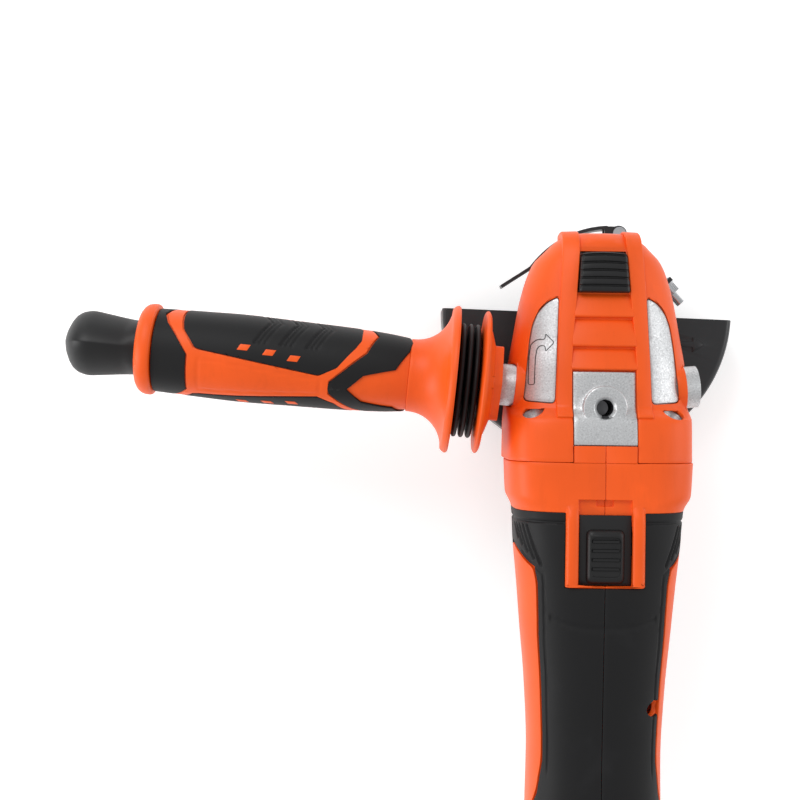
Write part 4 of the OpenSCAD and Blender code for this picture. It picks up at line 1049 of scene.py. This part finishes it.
def slider_pad(front, rear):
    """Raised pad of the slider with a shallow dish."""
    half, top = 8.2, SLIDER_TOP
    rings = []
    for inset, z in ((0, top - 0.4), (0, top + 0.8), (0.6, top + 1.9), (1.5, top + 2.6)):
        x = half - inset
        outline = [(-x, rear + inset), (x, rear + inset), (x, front - inset), (-x, front - inset)]
        rings.append([(p[0], p[1], z) for p in rounded(outline, 2.6, 5)])
    dish = [(-6.2, rear + 3), (6.2, rear + 3), (6.2, front - 3.2), (-6.2, front - 3.2)]
    return combine(loft("pad", rings), [prism("dish", rounded(dish, 2, 4), top + 1.9, top + 6)])


def make_slider():
    front, rear = SLOT[1] - 0.3, SLOT[0] + 0.05
    half, top = SLIDER_HALF - 0.05, SLIDER_TOP
    plate = box("plate", (-half, rear, 83.4), (half, front, top))
    pad_front = SLOT[1] - 6.4
    combine(plate, [slider_pad(pad_front, rear + 0.9),
                    box("wing", (SLIDER_HALF - 1, -108.6, 83.4), (16.4, -103.4, top - 0.35)),
                    box("leg", (13.6, -108.6, 79.4), (16.4, -103.4, top))], "UNION")
    soften(plate, 0.25, 35)
    ribs = []
    for i in range(4):
        y = pad_front - 5 - 3.9 * i
        outline = [(y - 0.9, top + 1.6), (y - 0.5, top + 2.5), (y + 0.5, top + 2.5), (y + 0.9, top + 1.6)]
        ribs.append(prism("rib", outline, -5.6, 5.6, "x"))
    plate = joined("slide_switch_knob", [plate] + ribs)
    smooth(plate)
    place(plate, "power_slider", "black_plastic", "switch_slider")


# ---------- guard ----------

def make_guard():
    """Half disc with a rounded shoulder, a rolled lip and a collar."""
    turn = Matrix.Rotation(GUARD_TURN, 4, "Z")
    neck = 21.3
    sheet = 1.8
    shoulder = [(GUARD_R - 3 + 3 * math.cos(a), GUARD_TOP - 3 + 3 * math.sin(a))
                for a in [math.pi / 2 * k / 6 for k in range(6, -1, -1)]]
    inner = [(GUARD_R - 3 + 1.2 * math.cos(a), GUARD_TOP - 3 + 1.2 * math.sin(a))
             for a in [math.pi / 2 * k / 5 for k in range(6)]]
    profile = [(neck, GUARD_TOP - sheet), (neck, GUARD_TOP)] + shoulder
    profile += [(GUARD_R, GUARD_LOW + 0.8), (GUARD_R - 0.8, GUARD_LOW), (GUARD_R - 5.5, GUARD_LOW),
                (GUARD_R - 5.5, GUARD_LOW + 1.8), (GUARD_R - 1.8, GUARD_LOW + 1.8)] + inner
    disc = turned("guard_sheet", profile, turn, 192)
    combine(disc, [box("half", (-80, -80, -20), (80, -1.6, 60), turn)], "INTERSECT")
    collar = [(neck, GUARD_TOP - sheet), (30, GUARD_TOP - sheet), (30, GUARD_TOP), (neck + 2.6, GUARD_TOP),
              (neck + 1.9, GUARD_TOP + 0.4), (neck + 1.5, GUARD_TOP + 1.2), (neck + 1.5, 33.6), (neck, 33.6)]
    hub = turned("hub", collar, turn, 128)
    arrow = [(-6.4, -1.2), (0.6, -1.2), (0.6, -3.6), (6.2, 0), (0.6, 3.6), (0.6, 1.2), (-6.4, 1.2)]
    outline = rounded([(p[0] + 50, p[1] - 14) for p in arrow], 0.5, 3)
    mark = prism("mark", outline, GUARD_TOP - 1, GUARD_TOP + 0.45, "z", turn)
    combine(disc, [hub, mark], "UNION")
    soften(disc, 0.25)
    place(disc, "guard_set", "black_steel", "guard")


# ---------- side handle ----------

GRIP_PROFILE = [(-41.2, 16.4), (-52, 17.6), (-68, 18.5), (-92, 19.1), (-116, 19.6), (-134, 19.2),
                (-153.6, 18.6)]
PANEL_TURN = math.radians(31)
GRIP_SINK = 0.9


def grip_radius(s):
    return curve(GRIP_PROFILE, -s)[0]


def handle_point(s, angle, height):
    """Point on the grip: angle in degrees from the side panel's middle towards the top and front."""
    phi = PANEL_TURN - math.radians(angle)
    r = grip_radius(s) + height
    middle = on_handle() @ Vector((0, 0, s))
    aside = Vector((math.sin(HANDLE_LEAN), math.cos(HANDLE_LEAN), 0))
    return tuple(middle + Vector((0, 0, math.cos(phi) * r)) - aside * (math.sin(phi) * r))


def full_turn(outline):
    """The outline on both flanks of the handle."""
    return [outline, [(s, a + 180) for s, a in outline]]


def mirror_90(half):
    """Closes an outline drawn from 90 degrees down to the panel and back, by its mirror image."""
    return half + [(s, 180 - a) for s, a in reversed(half) if abs(a - 90) > 1e-6]


def panel_relief(s, angle):
    """Three groups of slashes, mirrored about the panel's middle."""
    angle %= 180
    depth = 0.0
    for i in range(3):
        at = 112 - 11.4 * i
        for k in (0, 2.2, 4.4):
            distance = near_line(s, min(angle, 180 - angle), (at - 3 - k, 52), (at - 9 - k, 90), 0.33)
            depth = min(depth, groove(distance, 0.55, 0.4 if k else 0.65))
    return depth


def handle_soft_panels():
    """Soft panels, front band and chevron, each on both flanks."""
    every = (spread(38, 154, 1.0), spread(-180, 360, 3))
    fine = (spread(62, 142, 0.7), spread(0, 360, 2))
    panel = mirror_90([(141.5, 90), (141.2, 75), (140.4, 62.6), (134.8, 38), (132.5, 36), (80, 16.7),
                       (72.3, 29.4), (65, 60), (62.8, 74), (62.8, 90)])
    band = [(153.5, 0), (153.5, 180), (138.2, 180), (138.2, 152), (148.2, 108), (150.1, 90), (148.2, 72),
            (138.2, 28), (138.2, 0)]
    chevron = [(67.4, 0), (60.7, 21.8), (46.9, 35), (41.6, 68), (40.4, 90), (41.6, 112), (46.9, 145),
               (60.7, 158.2), (67.4, 180), (75.8, 180), (75.2, 171), (60, 126), (55.5, 90), (60, 54),
               (75.2, 9), (75.8, 0)]
    soft = []
    for outline in full_turn(panel):
        soft.append(wrapped("panel", rounded(outline, 1.6, 3), handle_point, -GRIP_SINK, 0.0, fine,
                            panel_relief))
    for name, shape in (("band", band), ("chevron", chevron)):
        for outline in full_turn(shape):
            soft.append(wrapped(name, outline, handle_point, -GRIP_SINK, 0.0, every))
    return soft


def side_relief(s, angle):
    """Fine line round the plain field of the side panel."""
    low, high = 79.5, 133
    a = (angle + 90) % 180 - 90
    half = 11 + 13 * (s - low) / (high - low)
    edge = min(abs(abs(a) - half) * 0.33 if low < s < high else 9, 9)
    if abs(a) < half:
        edge = min(edge, abs(s - low), abs(s - high))
    return groove(edge, 0.55, 0.35)


def handle_inlays():
    """Orange side panels, and the small marks set in the soft panels."""
    half = [(137.6, 27), (147.2, 70), (149.2, 90), (142.2, 90), (141.8, 75), (141, 63), (135.4, 37.5),
            (133, 35.4), (80.2, 16.1), (72.9, 28.6), (65.6, 59.6), (63.4, 74), (63.4, 90), (56.1, 90),
            (60.5, 55), (75.6, 10)]
    side_panel = [(137.6, -27)] + half + [(s, -a) for s, a in reversed(half[1:])]
    inlays = []
    for shift in (0, 180):
        outline = [(s, a + shift) for s, a in side_panel]
        divisions = (spread(56, 150, 0.9), spread(-90 + shift, 90 + shift, 2.5))
        inlays.append(wrapped("side_panel", outline, handle_point, -GRIP_SINK - 0.3, -0.12, divisions,
                              side_relief))
    for sign in (1, -1):
        for shift in (0, 180):
            for s, a in ((113.4, 44), (102.2, 40.5), (91.4, 36)):
                shape = [(s + 3.0, a - 4), (s - 1.6, a - 4), (s - 3.0, a + 4), (s + 1.6, a + 4)]
                outline = [(p[0], p[1] * sign + shift) for p in shape]
                inlays.append(wrapped("mark", outline, handle_point, -0.5, 0.14, ([s - 1, s + 1], [])))
    return inlays


def make_handle_pattern():
    """Soft panels and bands on the grip, and the orange sleeve that shows between them."""
    panels = joined("handle_soft_panels", handle_soft_panels())
    soften(panels, 0.28, 50, weld=0.02)
    place(panels, "side_handle", "soft_rubber", "handle_grip")
    bore, start, end = 15.25, 41.3, 153.5
    profile = [(grip_radius(s) - GRIP_SINK + 0.05, s) for s in spread(start, end, 2)]
    sleeve = turned("sleeve", [(bore, start)] + profile + [(bore, end)], on_handle(), 96)
    smooth(sleeve)
    hard = joined("inlays", handle_inlays())
    soften(hard, 0.2, 50, weld=0.02)
    whole = joined("handle_hard_inlays", [sleeve, hard])
    smooth(whole, 45)
    place(whole, "side_handle", "orange_plastic")


def make_handle_core():
    """Flange, trumpet and arrow-shaped neck of the handle."""
    core_s = 20.4
    profile = [(4.1, core_s), (20, core_s), (32.4, core_s + 0.3), (33, core_s + 1.0), (33, core_s + 1.8),
               (32.2, core_s + 3.0)]
    for k in range(0, 19):
        a = math.pi / 2 * k / 18
        profile.append((16.2 + 15.2 * (1 - math.sin(a)) ** 1.15, 24 + 17 * (1 - math.cos(a)) ** 0.9))
    profile += [(15.2, 41.2), (15.2, 154), (12.5, 154), (12.5, 28.4), (4.1, 28.4)]
    core = turned("handle_body", profile, on_handle(), 128)
    soften(core, 0.2, 50)
    place(core, "side_handle", "orange_plastic", "handle_core")


def make_handle_hub():
    rim = [(4.05, 4), (18, 4), (23, 5.6), (25, 6.6), (30.4, 7.0), (31.6, 7.6), (32, 8.3), (31.6, 9.1),
           (30.6, 9.6), (20, 10), (4.05, 10)]
    hub = turned("handle_collar", rim, on_handle(), 128)
    nut = prism("nut", rounded(ring_of(19, 6), 1.6, 4), 0.3, 5.9, "z", on_handle())
    combine(hub, [nut], "UNION")
    combine(hub, [handle_rod(-1, -2, 12, 4.05), handle_rod(-1, 4.9, 8.08, 8.08)])
    soften(hub, 0.4, 30)
    place(hub, "side_handle", "orange_plastic", "handle_hub")


def make_damping_discs():
    profile = [(4.1, 10.05), (11, 10.05)]
    for i in range(3):
        s = 11.2 + 3.2 * i
        profile += [(11, s - 0.4), (11.4, s), (24.7, s), (25.3, s + 0.4), (25.5, s + 1.0), (25.3, s + 1.6),
                    (24.7, s + 2), (11.4, s + 2)]
    profile += [(11, 20.35), (4.1, 20.35)]
    discs = turned("rubber_discs", profile, on_handle(), 128)
    soften(discs, 0.12, 40)
    place(discs, "side_handle", "soft_rubber", "damping_discs")


def make_end_ring():
    profile = [(12.5, 154), (19.2, 154), (20.1, 154.5), (20.4, 155.4), (20.35, 157.2), (19.9, 158.8),
               (18.9, 160.2), (17.4, 161.2), (15.2, 161.6), (13.4, 161.4), (12.5, 160.6)]
    ring = turned("mouth_ring", profile, on_handle(), 128)
    soften(ring, 0.25, 30)
    place(ring, "side_handle", "orange_plastic", "end_ring")


def make_key_grip():
    """Bulb on the stored key: round in the handle, with four soft ridges where fingers turn it."""
    rings = []
    stations = [(146, 11.6, 11.6), (146.6, 12, 12), (161.4, 12.1, 12.1), (166, 12.7, 12.4), (172, 13.5, 13.1),
                (178, 14.2, 13.9), (183.5, 14.6, 14.5), (187.5, 13.7, 13.8), (190.8, 11.4, 11.8),
                (193.2, 7.8, 8.4), (194.6, 4.0, 4.6), (195, 1.6, 1.8)]
    for s in [146, 146.3] + spread(146.6, 194.2, 1.6) + [194.7, 195]:
        a, b = curve([(-p[0],) + p[1:] for p in stations], -s)
        n = 2 - 0.62 * max(0, min(1, (s - 161.5) / 6))
        rings.append([(a * power(math.cos(t), 2 / n), b * power(math.sin(t), 2 / n), s)
                      for t in [2 * math.pi * i / 72 for i in range(72)]])
    knob = loft("key_bulb", rings, on_handle())
    combine(knob, [prism("socket", ring_of(3.02, 6), 140, 182.05, "z", on_handle())])
    soften(knob, 0.3, 45)
    place(knob, "storage_key", "black_plastic", "key_grip")


# ---------- spindle ----------

def make_spindle():
    """Spindle with its M14 thread cut as a helix."""
    turns_pitch, crest, root = 2.0, 7.0, 5.85
    steps = 48
    bm = bmesh.new()
    rows = []
    count = int(13.6 / turns_pitch * steps)
    shape = [(0.0, root), (0.12, root), (0.44, crest), (0.56, crest), (0.88, root)]
    for k in range(count + 1):
        angle = 2 * math.pi * k / steps
        z = 0.2 + 13.6 * k / count
        fade = min(1, (z - 0.0) / 1.4, (14.1 - z) / 0.6)
        row = []
        for part, radius in shape:
            r = root + (radius - root) * max(0.05, fade)
            level = min(14.2, z + part * turns_pitch * 0.98)
            row.append(bm.verts.new((r * math.cos(angle), r * math.sin(angle), level)))
        rows.append(row)
    for a, b in zip(rows, rows[1:]):
        for i in range(len(shape) - 1):
            bm.faces.new((a[i], a[i + 1], b[i + 1], b[i]))
    bm.faces.new(rows[0])
    bm.faces.new(rows[-1][::-1])
    for a, b in zip(rows, rows[1:]):
        bm.faces.new((a[0], b[0], b[-1], a[-1]))
    thread = new_object("thread", bm)
    profile = [(0, 0), (root - 0.5, 0), (root + 0.05, 0.5), (root + 0.05, 14.2), (7.0, 14.2), (7.0, 17.4),
               (10.6, 17.4), (11, 17.8), (11, 20.0), (10.6, 20.4), (6, 20.4), (6, 50), (4.5, 50),
               (4.5, 63.2), (4.1, 63.6), (0, 63.6)]
    core = turned("core", profile, None, 96)
    whole = joined("threaded_spindle", [thread, core])
    smooth(whole, 30)
    place(whole, "spindle_set", "bright_steel", "spindle")


# ---------- springs ----------

def coil(name, low_z, length, radius, wire, turns):
    """Upright helical spring round the lock pin's axis, with closed end turns."""
    bm = bmesh.new()
    steps, sides = 20 * turns, 8
    rows = []
    for i in range(steps + 1):
        ease = min(1.0, max(0.0, (i * turns / steps - 0.75) / (turns - 1.5)))
        z = low_z + wire + (length - 2 * wire) * ease
        angle = 2 * math.pi * turns * i / steps
        row = []
        for k in range(sides):
            a = 2 * math.pi * k / sides
            r = radius + wire * math.cos(a)
            x, y = r * math.cos(angle), LOCK_R + r * math.sin(angle)
            row.append(bm.verts.new((x, y, z + wire * math.sin(a))))
        rows.append(row)
    for a, b in zip(rows, rows[1:]):
        for k in range(sides):
            m = (k + 1) % sides
            bm.faces.new((a[k], a[m], b[m], b[k]))
    bm.faces.new(rows[0][::-1])
    bm.faces.new(rows[-1])
    return smooth(new_object(name, bm))


def make_lock_spring():
    low_z, high_z = low("lock_spring", 2), high("lock_spring", 2)
    length = high_z - low_z
    spring = coil("lock_coil", low_z, length, 3.9, 0.45, 5)
    place(spring, "housing", "bright_steel", "lock_spring")
    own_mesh(spring)


# ---------- making everything ----------

make_head_cover()
make_gear_case()
make_arrow_groove_shade()
make_lock_button()
for half_side in (-1, 1):
    make_housing(half_side)
    make_grip(half_side)
make_slider()
make_guard()
make_handle_pattern()
make_handle_core()
make_handle_hub()
make_damping_discs()
make_end_ring()
make_key_grip()
make_spindle()
make_lock_spring()


# ---------- floor, light and camera ----------

def make_floor():
    floor_z = cad_bounds[0][2] - 0.002
    bm = bmesh.new()
    size = 4.0
    corners = [(-size, -size), (size, -size), (size, size), (-size, size)]
    bm.faces.new([bm.verts.new((x / MM, y / MM, floor_z / MM)) for x, y in corners])
    floor = new_object("floor", bm)
    m = Nodes("pale floor")
    m.set(Roughness=0.95, Specular_IOR_Level=0.1, Emission_Color=(1, 1, 1, 1), Emission_Strength=0.42)
    m.surface(m.ramp(m.noise(3), [(0.3, (0.86, 0.86, 0.86)), (0.7, (0.9, 0.9, 0.9))]))
    floor.data.materials.append(m.material)


def make_light(name, position, target, size, power_w, color=(1, 1, 1)):
    lamp = bpy.data.lights.new(name, "AREA")
    lamp.shape = "DISK"
    lamp.size = size
    lamp.energy = power_w
    lamp.color = color
    obj = bpy.data.objects.new(name, lamp)
    bpy.context.scene.collection.objects.link(obj)
    obj.location = position
    obj.rotation_euler = (Vector(target) - Vector(position)).to_track_quat("-Z", "Y").to_euler()


def make_world():
    world = bpy.data.worlds.new("studio")
    world.use_nodes = True
    background = world.node_tree.nodes["Background"]
    background.inputs["Color"].default_value = (1, 1, 1, 1)
    background.inputs["Strength"].default_value = 0.62
    bpy.context.scene.world = world


def make_camera():
    """Straight down on the tool, with the nose at the top of the picture."""
    data = bpy.data.cameras.new("camera")
    data.lens = 57.6
    data.sensor_width = 36
    data.clip_end = 20
    camera = bpy.data.objects.new("camera", data)
    bpy.context.scene.collection.objects.link(camera)
    camera.location = (-0.0886, -0.0437, 0.6325)
    camera.rotation_euler = (0, 0, math.radians(0.75))
    bpy.context.scene.camera = camera


make_floor()
make_world()
make_light("key", (-0.55, 0.75, 0.9), (0, -0.05, 0.05), 0.7, 5.5)
make_light("left", (-0.9, -0.2, 0.35), (0, -0.05, 0.05), 0.5, 3)
make_light("right", (0.9, 0.1, 0.5), (0, -0.05, 0.05), 0.6, 2.2)
make_camera()
bpy.context.scene.view_settings.view_transform = "Standard"
